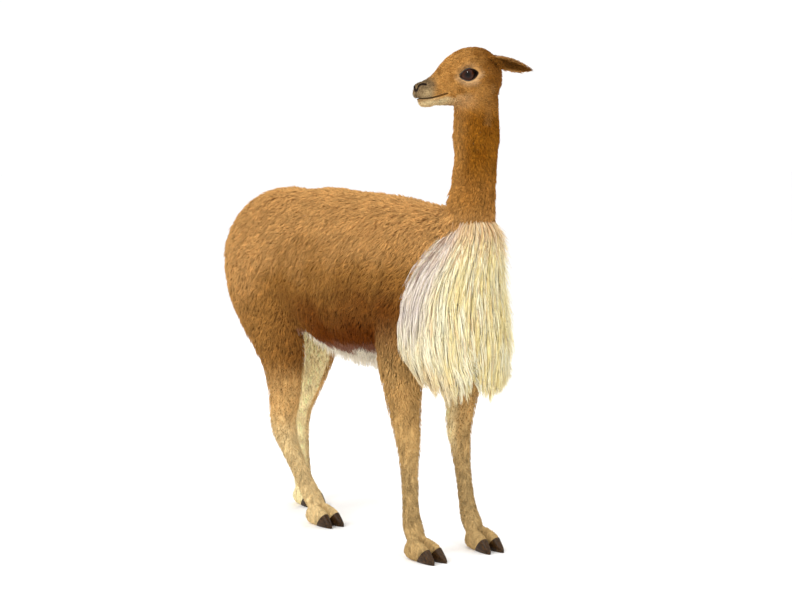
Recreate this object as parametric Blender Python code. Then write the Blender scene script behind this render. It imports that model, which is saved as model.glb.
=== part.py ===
"""A life-size standing vicuna, its head turned over its right shoulder, as a museum model.

The animal faces +X, its left side is +Y, and +Z is up. Lengths are metres. The body is fused from
tapered tubes, thinned, and parted into head, neck, torso, legs, toes and nails with thin cuts.
"""

import math
import random

import bmesh
import bpy
import numpy as np
from mathutils import Matrix, Vector

# Driving sizes of a grown vicuna. Each row below is a height, reach or radius scaled to them.
WITHERS = 0.856
RUMP = 0.882
GAP = 0.0003
SWELL = 0.00042
RING_STEP = 0.05
SAME_POINT = 1e-6
SHARP_EDGE = math.radians(40.0)
# Under 1 a ring is boxier than an ellipse.
BODY_ROUNDNESS = 0.92
TOE_ROUNDNESS = 0.85
# Melting of the body and of the head: grain, rounds of smoothing, triangles left.
BODY_MELT = (0.0075, 10, 3500)
HEAD_MELT = (0.0028, 7, 1650)

# Trunk rings from rump to breast: x, height of the widest level, reach up, reach down, half width.
TRUNK = [
    (-0.620, 0.700, 0.000, 0.000, 0.000),
    (-0.611, 0.700, 0.056, 0.064, 0.060),
    (-0.584, 0.697, 0.112, 0.112, 0.101),
    (-0.527, 0.690, 0.172, 0.146, 0.134),
    (-0.440, 0.680, 0.206, 0.158, 0.150),
    (-0.340, 0.670, RUMP - 0.670, 0.156, 0.150),
    (-0.230, 0.655, 0.234, 0.146, 0.148),
    (-0.110, 0.640, 0.241, 0.176, 0.154),
    (0.020, 0.634, 0.240, 0.182, 0.165),
    (0.130, 0.638, 0.231, 0.187, 0.160),
    (0.215, 0.645, WITHERS - 0.645, 0.188, 0.148),
    (0.290, 0.645, 0.200, 0.174, 0.130),
    (0.345, 0.642, 0.170, 0.150, 0.108),
    (0.388, 0.636, 0.124, 0.118, 0.080),
    (0.414, 0.628, 0.072, 0.072, 0.048),
    (0.424, 0.622, 0.000, 0.000, 0.000),
]
# Neck rings from the head down into the breast: x, y, z, reach forward, reach back, half width.
NECK = [
    (0.398, 0.004, 1.170, 0.000, 0.000, 0.000),
    (0.400, 0.004, 1.140, 0.046, 0.048, 0.046),
    (0.404, 0.004, 1.070, 0.053, 0.055, 0.052),
    (0.405, 0.003, 0.985, 0.050, 0.052, 0.050),
    (0.401, 0.001, 0.915, 0.053, 0.057, 0.052),
    (0.389, 0.000, 0.845, 0.060, 0.061, 0.056),
    (0.364, 0.000, 0.770, 0.072, 0.094, 0.070),
    (0.328, 0.000, 0.690, 0.088, 0.105, 0.086),
    (0.300, 0.000, 0.620, 0.060, 0.060, 0.060),
    (0.290, 0.000, 0.590, 0.000, 0.000, 0.000),
]
# Right foreleg from shoulder to pastern: x, y, z, reach forward, reach back, half width.
FORELEG = [
    (0.225, -0.076, 0.770, 0.000, 0.000, 0.000),
    (0.232, -0.086, 0.710, 0.074, 0.078, 0.052),
    (0.242, -0.098, 0.615, 0.086, 0.084, 0.058),
    (0.250, -0.105, 0.525, 0.078, 0.078, 0.055),
    (0.258, -0.107, 0.445, 0.064, 0.066, 0.047),
    (0.264, -0.106, 0.382, 0.054, 0.056, 0.040),
    (0.270, -0.104, 0.330, 0.044, 0.043, 0.036),
    (0.275, -0.102, 0.290, 0.039, 0.037, 0.0335),
    (0.278, -0.101, 0.250, 0.031, 0.031, 0.0285),
    (0.280, -0.100, 0.205, 0.0250, 0.0260, 0.0235),
    (0.283, -0.100, 0.145, 0.0225, 0.0240, 0.0215),
    (0.286, -0.100, 0.108, 0.0230, 0.0250, 0.0225),
    (0.290, -0.100, 0.082, 0.0265, 0.0275, 0.0260),
    (0.302, -0.100, 0.058, 0.0270, 0.0280, 0.0265),
    (0.312, -0.100, 0.038, 0.0190, 0.0200, 0.0200),
    (0.318, -0.100, 0.026, 0.000, 0.000, 0.000),
]
# Right hind leg, which stands well under the body: the same columns.
HINDLEG = [
    (-0.440, -0.060, 0.830, 0.000, 0.000, 0.000),
    (-0.432, -0.076, 0.760, 0.100, 0.112, 0.064),
    (-0.400, -0.096, 0.655, 0.140, 0.148, 0.074),
    (-0.350, -0.101, 0.550, 0.128, 0.114, 0.062),
    (-0.312, -0.097, 0.460, 0.098, 0.080, 0.052),
    (-0.301, -0.091, 0.382, 0.070, 0.066, 0.044),
    (-0.309, -0.084, 0.320, 0.055, 0.056, 0.039),
    (-0.321, -0.081, 0.268, 0.044, 0.050, 0.0360),
    (-0.310, -0.079, 0.225, 0.035, 0.043, 0.0310),
    (-0.279, -0.074, 0.170, 0.0275, 0.0300, 0.0255),
    (-0.244, -0.067, 0.115, 0.0250, 0.0265, 0.0235),
    (-0.223, -0.061, 0.082, 0.0265, 0.0285, 0.0260),
    (-0.205, -0.057, 0.058, 0.0270, 0.0285, 0.0265),
    (-0.194, -0.055, 0.038, 0.0190, 0.0200, 0.0200),
    (-0.188, -0.055, 0.026, 0.000, 0.000, 0.000),
]
# How far each left leg stands from its mirrored right one: hoof forward, hock or knee forward.
# A bend under 1 gives the part above the hock or knee more of that joint's shift.
FORE_BEND = 0.9
HIND_BEND = 0.4
LEFT_FORE_STEP = (-0.012, -0.050)
LEFT_FORE_OUT = (-0.006, -0.010)
LEFT_HIND_STEP = (-0.270, -0.176)
LEFT_HIND_OUT = (0.014, 0.004)
# Each leg is parted from the trunk by a leaning egg: centre, half sizes, and its lean in X for Z.
LEG_EGGS = {
    "fore_right": ((0.288, -0.118, 0.160), (0.190, 0.105, 0.400), -0.10),
    "fore_left": ((0.275, 0.118, 0.160), (0.190, 0.105, 0.400), -0.10),
    "hind_right": ((-0.270, -0.118, 0.180), (0.230, 0.115, 0.420), -0.34),
    "hind_left": ((-0.430, 0.120, 0.180), (0.250, 0.115, 0.420), 0.06),
}

# Foot: distance of the foot's middle ahead of the pastern's end, heading, and the digit's rings
# along its heading: distance, half width, reach up from the ground.
FOOT_AHEAD = 0.014
FOOT_TURN = math.radians(4.0)
DIGIT_SPLAY = math.radians(3.0)
DIGIT_OUT = 0.0142
DIGIT = [
    (-0.045, 0.0000, 0.014),
    (-0.041, 0.0092, 0.030),
    (-0.030, 0.0130, 0.050),
    (-0.012, 0.0138, 0.065),
    (0.008, 0.0136, 0.059),
    (0.026, 0.0128, 0.043),
    (0.041, 0.0110, 0.029),
    (0.054, 0.0078, 0.017),
    (0.063, 0.0038, 0.008),
    (0.067, 0.0000, 0.004),
]
# Where the widest level lies in a digit's height, and how far its pad runs on under the ground.
DIGIT_LEVEL = 0.42
PAD_UNDER = 0.004
NAIL_START = 0.008
NAIL_SLANT = 0.95

# Head: its own axes are forward a, left l and up v, about a point between the eyes and the jaw.
HEAD_AT = Vector((0.398, -0.022, 1.155))
HEAD_HEADING = math.radians(-99.0)
HEAD_PITCH = math.radians(-11.0)
# Skull and jaw rings from the poll to the lips: a, level, reach up, reach down, half width.
SKULL = [
    (-0.087, 0.006, 0.000, 0.000, 0.000),
    (-0.081, 0.006, 0.026, 0.034, 0.028),
    (-0.062, 0.005, 0.050, 0.060, 0.046),
    (-0.034, 0.005, 0.062, 0.072, 0.0540),
    (-0.006, 0.004, 0.064, 0.072, 0.0555),
    (0.022, 0.000, 0.058, 0.068, 0.0520),
    (0.046, -0.005, 0.049, 0.058, 0.0430),
    (0.070, -0.010, 0.0385, 0.0455, 0.0335),
    (0.094, -0.013, 0.031, 0.0365, 0.0275),
    (0.113, -0.014, 0.0265, 0.030, 0.0255),
    (0.128, -0.015, 0.020, 0.024, 0.0225),
    (0.137, -0.016, 0.011, 0.013, 0.0135),
    (0.1405, -0.016, 0.000, 0.000, 0.000),
]
# Rounded masses fused on the skull: centre a, l, v and half sizes; the left one is mirrored.
HEAD_MASSES = [
    ((0.008, 0.036, 0.034), (0.030, 0.016, 0.015)),
    ((0.036, 0.036, -0.006), (0.030, 0.010, 0.010)),
    ((-0.026, 0.036, -0.032), (0.036, 0.020, 0.034)),
    ((0.120, 0.0130, -0.014), (0.021, 0.0150, 0.0140)),
    ((0.124, 0.0115, 0.002), (0.014, 0.0105, 0.0095)),
    ((0.110, 0.0070, -0.039), (0.024, 0.0135, 0.0105)),
]
# Eye: radius and place of the ball, thickness of the lids, half sizes of the almond between them,
# how pointed its corners are, and where its cutter lies outside the ball's middle and how deep.
EYE_RADIUS = 0.0232
EYE_AT = (0.019, 0.0322, 0.009)
LID_DEPTH = 0.0024
SOCKET_GAP = 0.00075
EYE_OPENING = (0.0232, 0.0142)
EYE_CORNERS = 0.30
OPENING_REACH = (0.0255, 0.0325)
MOUTH = [
    (0.074, 0.0390, -0.0275),
    (0.092, 0.0310, -0.0290),
    (0.112, 0.0270, -0.0300),
    (0.130, 0.0220, -0.0290),
    (0.1395, 0.0110, -0.0275),
    (0.1425, 0.0000, -0.0270),
]
MOUTH_CUT = (0.0011, 0.0075)
CLEFT = [(0.1400, 0.0, -0.0020), (0.1455, 0.0, -0.0120), (0.1440, 0.0, -0.0270)]
CLEFT_CUT = (0.0011, 0.0035)
NOSTRIL_CUT = (0.0022, 0.0050)
NOSTRIL_THIN = (0.3, -0.8, 0.5)
RUN_OUT = 0.1
NOSTRIL = [
    (0.1400, 0.0050, -0.0050),
    (0.1360, 0.0095, 0.0015),
    (0.1280, 0.0145, 0.0060),
    (0.1190, 0.0185, 0.0055),
]

# Ear: length, root place on the head, and the directions of its axis and of its open side.
EAR_LENGTH = 0.112
EAR_AT = (-0.046, 0.034, 0.031)
EAR_AXIS = (-0.54, 0.78, -0.32)
EAR_OPENS = (0.62, 0.34, -0.55)
EAR_ROUND_ENDS = 6.0
EAR_RIM = 0.45
# Ear rings: share of the length, half width, depth of the curl, wall thickness.
EAR = [
    (0.00, 0.0150, 0.008, 0.0180),
    (0.10, 0.0165, 0.012, 0.0130),
    (0.26, 0.0195, 0.015, 0.0060),
    (0.48, 0.0210, 0.014, 0.0040),
    (0.70, 0.0172, 0.010, 0.0034),
    (0.88, 0.0098, 0.005, 0.0028),
    (1.00, 0.0012, 0.001, 0.0014),
]

# Bib: the surface on which the long chest hair lies. Height, middle x, reach forward, half width
# and how deep under that surface its core lies.
DRAPE = [
    (0.815, 0.391, 0.064, 0.060, 0.009),
    (0.780, 0.384, 0.076, 0.072, 0.010),
    (0.740, 0.366, 0.092, 0.090, 0.012),
    (0.690, 0.344, 0.112, 0.112, 0.014),
    (0.630, 0.334, 0.126, 0.132, 0.016),
    (0.570, 0.332, 0.130, 0.142, 0.017),
    (0.500, 0.334, 0.130, 0.142, 0.017),
    (0.440, 0.346, 0.114, 0.120, 0.018),
    (0.390, 0.356, 0.098, 0.102, 0.018),
    (0.340, 0.360, 0.088, 0.092, 0.018),
]
BIB_CORE_BOTTOM = 0.455
# Tiers of chest locks: root height, count, widest angle from straight ahead in degrees, length.
BIB_TIERS = [
    (0.812, 5, 72, 0.105),
    (0.765, 7, 88, 0.118),
    (0.718, 8, 98, 0.124),
    (0.670, 9, 106, 0.126),
    (0.622, 10, 108, 0.126),
    (0.575, 10, 106, 0.122),
    (0.530, 10, 98, 0.114),
    (0.494, 9, 88, 0.106),
    (0.474, 7, 64, 0.100),
]
LOCK_WIDTH = 0.0232
LOCK_DEPTH = 0.0046
LOCK_SINK = 0.026
LOCK_FLARE = 0.008
LOCK_POINTS = 4
# A lock is widest a third of the way down: start and run of the swelling, and its fullness.
LOCK_SWELLING = (0.24, 0.64, 0.8)
# How much locks differ: stagger of a tier, turn, height, length, sway, curl, flare, width.
LOCK_STAGGER = 0.24
LOCK_TURN = 0.03
LOCK_RISE = 0.010
LOCK_REACH = (0.88, 1.16)
LOCK_SWAY = 0.16
LOCK_INWARD = 0.10
LOCK_CURL = 0.05
LOCK_FLARES = (0.5, 1.5)
LOCK_WIDTHS = (0.85, 1.15)
LOCK_RUN = (0.58, 0.8)
# The core's back reach, and its rounded ends: rise above the top ring, then forward, drop and
# share of the lowest ring.
BIB_CORE_BACK = 0.020
BIB_CORE_TOP = 0.012
BIB_CORE_END = (0.010, 0.014, 0.72)
TAIL_LOCK = (0.015, 0.0042)
TAIL_TURN = 0.1
TAIL_DROP = (0.97, 1.03)
TAIL_RUN = 1.3
# Lift of a tail tuft as shares of the tail's half width: at the root, swelling, run, drawing in.
TAIL_LIFT = (0.62, 0.52, 0.60, 0.30)
# Tufts round the tail: how far down it they root, count, length.
TAIL_TIERS = [
    (1.8, 5, 0.075),
    (3.0, 5, 0.070),
    (4.2, 4, 0.060),
]

# Tail: rings from the root down: x, y, z, reach outwards, reach inwards, half width.
TAIL = [
    (-0.560, 0.000, 0.782, 0.000, 0.000, 0.000),
    (-0.580, 0.000, 0.775, 0.024, 0.024, 0.028),
    (-0.612, 0.000, 0.752, 0.027, 0.027, 0.034),
    (-0.636, 0.002, 0.706, 0.029, 0.029, 0.040),
    (-0.643, 0.003, 0.652, 0.028, 0.028, 0.040),
    (-0.640, 0.004, 0.602, 0.022, 0.022, 0.031),
    (-0.634, 0.004, 0.562, 0.011, 0.011, 0.015),
    (-0.630, 0.004, 0.540, 0.000, 0.000, 0.000),
]

# Cut planes: a point and the direction of the part beyond.
NECK_BASE = (Vector((0.300, 0.0, 0.862)), Vector((0.66, 0.0, 0.75)).normalized())
THROAT = (Vector((0.400, 0.0, 1.046)), Vector((0.0, 0.0, 1.0)))

COLOURS = {
    "coat": ((0.46, 0.25, 0.11), 0.9),
    "bib": ((0.86, 0.80, 0.64), 0.9),
    "eye": ((0.03, 0.012, 0.006), 0.1),
    "nail": ((0.05, 0.03, 0.02), 0.4),
}


def clear_scene():
    for obj in list(bpy.data.objects):
        bpy.data.objects.remove(obj)


def material(name):
    found = bpy.data.materials.get(name)
    if found:
        return found
    colour, roughness = COLOURS[name]
    made = bpy.data.materials.new(name)
    made.use_nodes = True
    shader = made.node_tree.nodes["Principled BSDF"]
    shader.inputs["Base Color"].default_value = (*colour, 1.0)
    shader.inputs["Roughness"].default_value = roughness
    shader.inputs["Metallic"].default_value = 0.0
    return made


def make_object(name, bm, finish="coat"):
    bmesh.ops.recalc_face_normals(bm, faces=bm.faces)
    mesh = bpy.data.meshes.new(name)
    bm.to_mesh(mesh)
    bm.free()
    mesh.materials.append(material(finish))
    obj = bpy.data.objects.new(name, mesh)
    bpy.context.scene.collection.objects.link(obj)
    return obj


def remove(*objects):
    for obj in objects:
        bpy.data.objects.remove(obj)


def apply_modifiers(obj):
    bpy.context.view_layer.update()
    graph = bpy.context.evaluated_depsgraph_get()
    mesh = bpy.data.meshes.new_from_object(obj.evaluated_get(graph))
    obj.modifiers.clear()
    obj.data = mesh
    return obj


def along_rows(rows, place):
    """The row at a place from 0 to the last index, on a smooth curve through the rows."""
    last = len(rows) - 1
    i = min(int(place), last - 1)
    f = place - i
    p0, p1, p2, p3 = (rows[min(max(k, 0), last)] for k in (i - 1, i, i + 1, i + 2))
    return p1 + 0.5 * f * (
        p2 - p0 + f * (2 * p0 - 5 * p1 + 4 * p2 - p3 + f * (3 * (p1 - p2) + p3 - p0))
    )


def tube(name, rings, around, along, roundness=1.0, finish="coat"):
    """A closed tube through rings of centre x, y, z, reach up or forward, reach back, half width.

    It starts as a ball whose poles become the two ends.
    """
    rows = np.array(rings, float)
    last = len(rows) - 1
    bm = bmesh.new()
    bmesh.ops.create_uvsphere(bm, u_segments=around, v_segments=along, radius=1.0)
    for v in bm.verts:
        place = math.acos(max(-1.0, min(1.0, v.co.z))) / math.pi * last
        angle = math.atan2(v.co.y, v.co.x)
        row = along_rows(rows, place)
        ahead = along_rows(rows, min(place + RING_STEP, last))
        behind = along_rows(rows, max(place - RING_STEP, 0.0))
        run = Vector(ahead[:3] - behind[:3]).normalized()
        side = Vector((0.0, 1.0, 0.0))
        side = (side - run * side.dot(run)).normalized()
        up = run.cross(side)
        c, s = (math.copysign(abs(x) ** roundness, x) for x in (math.cos(angle), math.sin(angle)))
        reach = row[3] if s > 0 else row[4]
        v.co = Vector(row[:3]) + side * (c * max(row[5], 0.0)) + up * (s * max(reach, 0.0))
    bmesh.ops.remove_doubles(bm, verts=bm.verts, dist=SAME_POINT)
    return make_object(name, bm, finish)


def ball(name, centre, radii, around, along, finish="coat"):
    bm = bmesh.new()
    bmesh.ops.create_uvsphere(bm, u_segments=around, v_segments=along, radius=1.0)
    bmesh.ops.scale(bm, vec=radii, verts=bm.verts)
    bmesh.ops.translate(bm, vec=centre, verts=bm.verts)
    return make_object(name, bm, finish)


def mirrored(rings):
    return [(r[0], -r[1], *r[2:]) for r in rings]


def fuse(name, pieces, melt_as):
    """Pieces melted into one closed surface: grain, rounds of smoothing, triangles left."""
    grain, softening, triangles = melt_as
    bm = bmesh.new()
    for piece in pieces:
        bm.from_mesh(piece.data)
    remove(*pieces)
    mesh = bpy.data.meshes.new(name)
    bm.to_mesh(mesh)
    bm.free()
    mesh.materials.append(material("coat"))
    obj = bpy.data.objects.new(name, mesh)
    bpy.context.scene.collection.objects.link(obj)
    melt = obj.modifiers.new("Melt", "REMESH")
    melt.mode = "VOXEL"
    melt.voxel_size = grain
    soften = obj.modifiers.new("Soften", "SMOOTH")
    soften.factor = 0.5
    soften.iterations = softening
    apply_modifiers(obj)
    count = 2 * len(obj.data.polygons)
    thin = obj.modifiers.new("Thin", "DECIMATE")
    thin.ratio = triangles / count
    return apply_modifiers(obj)


def copy_of(obj, name):
    made = obj.copy()
    made.data = obj.data.copy()
    made.name = name
    bpy.context.scene.collection.objects.link(made)
    return made


def swollen(obj):
    """A copy pushed out by the gap that touching pieces keep."""
    made = copy_of(obj, obj.name + "_swollen")
    push = made.modifiers.new("Push", "DISPLACE")
    push.strength = SWELL
    push.mid_level = 0.0
    return apply_modifiers(made)


def boolean(obj, other, operation):
    cut = obj.modifiers.new(operation.title(), "BOOLEAN")
    cut.operation = operation
    cut.object = other
    cut.solver = "EXACT"
    return apply_modifiers(obj)


def keep_largest(obj):
    """Drops every closed surface but the one with the most volume."""
    bm = bmesh.new()
    bm.from_mesh(obj.data)
    bmesh.ops.remove_doubles(bm, verts=bm.verts, dist=SAME_POINT)
    bmesh.ops.triangulate(bm, faces=bm.faces)
    left = set(bm.faces)
    shells = []
    while left:
        stack = [left.pop()]
        shell = list(stack)
        while stack:
            for edge in stack.pop().edges:
                for face in edge.link_faces:
                    if face in left:
                        left.remove(face)
                        stack.append(face)
                        shell.append(face)
        shells.append(shell)

    def volume(shell):
        return sum(
            f.verts[0].co.dot(f.verts[1].co.cross(f.verts[2].co)) for f in shell
        ) / 6.0

    shells.sort(key=volume)
    lost = [f for shell in shells[:-1] for f in shell]
    if lost:
        bmesh.ops.delete(bm, geom=lost, context="FACES")
    bm.to_mesh(obj.data)
    bm.free()
    return obj


def minus(obj, *others):
    """Cuts every other piece, swollen by the gap, out of a piece."""
    for other in others:
        tool = swollen(other)
        boolean(obj, tool, "DIFFERENCE")
        remove(tool)
    return keep_largest(obj)


def halve(obj, plane, beyond):
    """Keeps one side of a plane, half the gap away from it, and closes the cut."""
    point, normal = plane
    outward = -normal if beyond else normal
    bm = bmesh.new()
    bm.from_mesh(obj.data)
    bmesh.ops.bisect_plane(
        bm,
        geom=bm.verts[:] + bm.edges[:] + bm.faces[:],
        dist=SAME_POINT / 10,
        plane_co=point - outward * (GAP / 2),
        plane_no=outward,
        clear_outer=True,
    )
    rim = [e for e in bm.edges if e.is_boundary]
    filled = bmesh.ops.holes_fill(bm, edges=rim, sides=0)["faces"]
    bmesh.ops.triangulate(bm, faces=filled)
    bmesh.ops.recalc_face_normals(bm, faces=bm.faces)
    bm.to_mesh(obj.data)
    bm.free()
    return obj


def union_of(name, pieces, finish):
    """One Boolean union of a collection of closed pieces."""
    group = bpy.data.collections.new(name + "_pieces")
    first, rest = pieces[0], pieces[1:]
    for piece in rest:
        group.objects.link(piece)
    join = first.modifiers.new("Join", "BOOLEAN")
    join.operation = "UNION"
    join.operand_type = "COLLECTION"
    join.collection = group
    join.solver = "EXACT"
    apply_modifiers(first)
    remove(*rest)
    bpy.data.collections.remove(group)
    first.name = name
    first.data.materials.clear()
    first.data.materials.append(material(finish))
    return keep_largest(first)


# Legs and feet


def stepped(rings, forward, outward, bend):
    """Leg rings with the foot and the middle joint moved forward and outward, and the top kept."""
    rows = []
    hip, joint = rings[2][2], rings[7][2]
    for ring in rings:
        x, y, z = ring[:3]
        above = min(max((hip - z) / (hip - joint), 0.0), 1.0) ** bend
        below = min(max((joint - z) / joint, 0.0), 1.0)
        step, out = (at[1] * above + (at[0] - at[1]) * below for at in (forward, outward))
        rows.append((x + step, y - out, z, *ring[3:]))
    return rows


def leg_rings():
    return {
        "fore_right": FORELEG,
        "fore_left": mirrored(stepped(FORELEG, LEFT_FORE_STEP, LEFT_FORE_OUT, FORE_BEND)),
        "hind_right": HINDLEG,
        "hind_left": mirrored(stepped(HINDLEG, LEFT_HIND_STEP, LEFT_HIND_OUT, HIND_BEND)),
    }


def leg_region(key):
    centre, radii, lean = LEG_EGGS[key]
    egg = ball("egg_" + key, (0.0, 0.0, 0.0), radii, 14, 9)
    shear = Matrix.Identity(4)
    shear[0][2] = lean
    egg.data.transform(Matrix.Translation(centre) @ shear)
    return egg


def digit(name, rings, side):
    """One toe with its nail, as (flesh, nail): a pad flat on the ground, cut at the nail's root."""
    foot = Vector(rings[-1][:3])
    turn = -math.copysign(FOOT_TURN, foot.y)
    heading = turn + side * DIGIT_SPLAY
    rows = []
    for s, half, top in DIGIT:
        level = top * DIGIT_LEVEL
        rows.append((s, 0.0, level, top - level, level + PAD_UNDER, half))
    body = tube(name, rows, 8, 8, TOE_ROUNDNESS)
    place = (
        Matrix.Translation((foot.x + FOOT_AHEAD, foot.y, 0.0))
        @ Matrix.Rotation(turn, 4, "Z")
        @ Matrix.Translation((DIGIT[0][0], side * DIGIT_OUT, 0.0))
        @ Matrix.Rotation(heading - turn, 4, "Z")
        @ Matrix.Translation((-DIGIT[0][0], 0.0, 0.0))
    )
    nail = copy_of(body, name.replace("toe", "nail"))
    nail.data.materials.clear()
    nail.data.materials.append(material("nail"))
    root = (Vector((NAIL_START, 0.0, 0.0)), Vector((1.0, 0.0, -NAIL_SLANT)).normalized())
    halve(body, root, False)
    halve(nail, root, True)
    for piece in (body, nail):
        piece.data.transform(place)
        halve(piece, (Vector((0.0, 0.0, -GAP / 2)), Vector((0.0, 0.0, 1.0))), True)
    return body, nail


# Head


def head_matrix():
    turn = Matrix.Rotation(HEAD_HEADING, 4, "Z") @ Matrix.Rotation(-HEAD_PITCH, 4, "Y")
    return Matrix.Translation(HEAD_AT) @ turn


def both_sides(point):
    return [point, (point[0], -point[1], point[2])]


def make_head():
    """Head with eye sockets, lids, nostrils, a cleft upper lip and the line of the mouth."""
    place = head_matrix()
    rows = [(a, 0.0, level, up, down, half) for a, level, up, down, half in SKULL]
    pieces = [tube("skull", rows, 40, 40, BODY_ROUNDNESS)]
    for i, (centre, radii) in enumerate(HEAD_MASSES):
        for spot in both_sides(centre):
            pieces.append(ball(f"mass_{i}", spot, radii, 24, 16))
    for piece in pieces:
        piece.data.transform(place)
    pieces.append(tube("neck_stub", NECK, 32, 40))
    head = fuse("head", pieces, HEAD_MELT)
    halve(head, THROAT, True)
    keep_largest(head)
    lids = []
    sockets = []
    for spot in both_sides(EYE_AT):
        centre = place @ Vector(spot)
        lids.append(ball("lid", centre, [EYE_RADIUS + LID_DEPTH] * 3, 16, 12))
        sockets.append(ball("socket", centre, [EYE_RADIUS + SOCKET_GAP] * 3, 12, 9))
        opening = almond("opening", EYE_OPENING, OPENING_REACH[1])
        ahead = Vector((0.0, math.copysign(OPENING_REACH[0], spot[1]), 0.0))
        opening.data.transform(place @ Matrix.Translation(Vector(spot) + ahead))
        sockets.append(opening)
    for lid in lids:
        boolean(head, lid, "UNION")
    sides = [[(a, l * s, v) for a, l, v in MOUTH] for s in (1, -1)]
    tools = [
        groove("mouth", sides[0] + sides[1][-2::-1], MOUTH_CUT, 40, (0.0, 0.0, 1.0)),
        groove("cleft", CLEFT, CLEFT_CUT, 8, (0.0, 1.0, 0.0)),
    ]
    for side in (1, -1):
        path = [(a, l * side, v) for a, l, v in NOSTRIL]
        thin = (NOSTRIL_THIN[0], NOSTRIL_THIN[1] * side, NOSTRIL_THIN[2])
        tools.append(groove("nostril", path, NOSTRIL_CUT, 8, thin))
    for tool in tools:
        tool.data.transform(place)
    for tool in tools + sockets:
        boolean(head, tool, "DIFFERENCE")
    remove(*lids, *sockets, *tools)
    return keep_largest(head)


def almond(name, half_sizes, reach):
    """A closed almond across l, pointed fore and aft, which opens the lids."""
    bm = bmesh.new()
    bmesh.ops.create_uvsphere(bm, u_segments=16, v_segments=8, radius=1.0)
    for v in bm.verts:
        narrow = (1.0 - min(v.co.x * v.co.x, 1.0)) ** EYE_CORNERS
        v.co = Vector((v.co.x * half_sizes[0], v.co.z * reach, v.co.y * half_sizes[1] * narrow))
    bmesh.ops.remove_doubles(bm, verts=bm.verts, dist=SAME_POINT)
    return make_object(name, bm)


def groove(name, path, cut, along, thin):
    """A flat tube along a path, with half its thickness in one direction and half its depth."""
    rows = np.array([(*point, *cut) for point in [path[0], *path, path[-1]]], float)
    rows[0, 3:] = rows[-1, 3:] = 0.0
    rows[0, :3] += (rows[1, :3] - rows[2, :3]) * RUN_OUT
    rows[-1, :3] += (rows[-2, :3] - rows[-3, :3]) * RUN_OUT
    last = len(rows) - 1
    bm = bmesh.new()
    bmesh.ops.create_uvsphere(bm, u_segments=8, v_segments=along, radius=1.0)
    for v in bm.verts:
        place = math.acos(max(-1.0, min(1.0, v.co.z))) / math.pi * last
        angle = math.atan2(v.co.y, v.co.x)
        row = along_rows(rows, place)
        ahead = along_rows(rows, min(place + RING_STEP, last))
        behind = along_rows(rows, max(place - RING_STEP, 0.0))
        run = Vector(ahead[:3] - behind[:3]).normalized()
        up = Vector(thin)
        up = (up - run * up.dot(run)).normalized()
        deep = run.cross(up)
        v.co = (
            Vector(row[:3])
            + up * (math.sin(angle) * max(row[3], 0.0))
            + deep * (math.cos(angle) * max(row[4], 0.0))
        )
    bmesh.ops.remove_doubles(bm, verts=bm.verts, dist=SAME_POINT)
    return make_object(name, bm)


def make_ear(name, side, head):
    """A pointed, cupped leaf: an outer curl, and an inner one set in by the wall."""
    axis = Vector(EAR_AXIS).normalized()
    opens = Vector(EAR_OPENS)
    opens = (opens - axis * opens.dot(axis)).normalized()
    wide = axis.cross(opens)
    rows = np.array(EAR, float)
    last = len(rows) - 1
    bm = bmesh.new()
    bmesh.ops.create_uvsphere(bm, u_segments=12, v_segments=10, radius=1.0)
    for v in bm.verts:
        place = math.acos(max(-1.0, min(1.0, v.co.z))) / math.pi * last
        angle = math.atan2(v.co.y, v.co.x)
        share, half, curl, wall = along_rows(rows, place)
        ends = min(place * EAR_ROUND_ENDS, (last - place) * EAR_ROUND_ENDS, 1.0)
        across = math.cos(angle)
        back = -curl * (1.0 - across * across)
        lift = wall * ends * max(math.sin(angle), 0.0) * (1.0 - EAR_RIM * across * across)
        along = axis * (EAR_LENGTH * share)
        v.co = along + wide * (across * half * ends) + opens * (back * ends + lift)
    bmesh.ops.remove_doubles(bm, verts=bm.verts, dist=SAME_POINT)
    bmesh.ops.translate(bm, vec=EAR_AT, verts=bm.verts)
    if side < 0:
        bmesh.ops.scale(bm, vec=(1.0, -1.0, 1.0), verts=bm.verts)
    bmesh.ops.transform(bm, matrix=head_matrix(), verts=bm.verts)
    return minus(make_object(name, bm), head)


# Long hair


def drape_point(angle, height, lift):
    """A point of the bib's surface: angle from straight ahead, height, and lift off the surface."""
    rows = np.array(DRAPE, float)
    middle, forward, half = (np.interp(-height, -rows[:, 0], rows[:, k]) for k in (1, 2, 3))
    return Vector(
        (
            middle + (forward + lift) * math.cos(angle),
            (half + lift) * math.sin(angle),
            height,
        )
    )


def flat_lock(path, across, width, depth, finish):
    """A flat, four-sided lock that tapers from the first point of its path to a tip at the last."""
    last = len(path) - 1
    bm = bmesh.new()
    loops = []
    for i, point in enumerate(path[:-1]):
        run = (path[i + 1] - path[max(i - 1, 0)]).normalized()
        side = (across - run * across.dot(run)).normalized()
        out = run.cross(side)
        start, run_on, fullness = LOCK_SWELLING
        swell = math.sin(math.pi * (start + run_on * i / last)) ** fullness
        corners = (side * width, out * depth, -side * width, -out * depth)
        loops.append([bm.verts.new(point + corner * swell) for corner in corners])
    tip = bm.verts.new(path[-1])
    bm.faces.new(loops[0])
    for a, b in zip(loops, loops[1:]):
        for i in range(4):
            j = (i + 1) % 4
            bm.faces.new((a[i], a[j], b[j], b[i]))
    for i in range(4):
        bm.faces.new((loops[-1][i], loops[-1][(i + 1) % 4], tip))
    bmesh.ops.triangulate(bm, faces=bm.faces)
    return make_object("lock", bm, finish)


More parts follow.
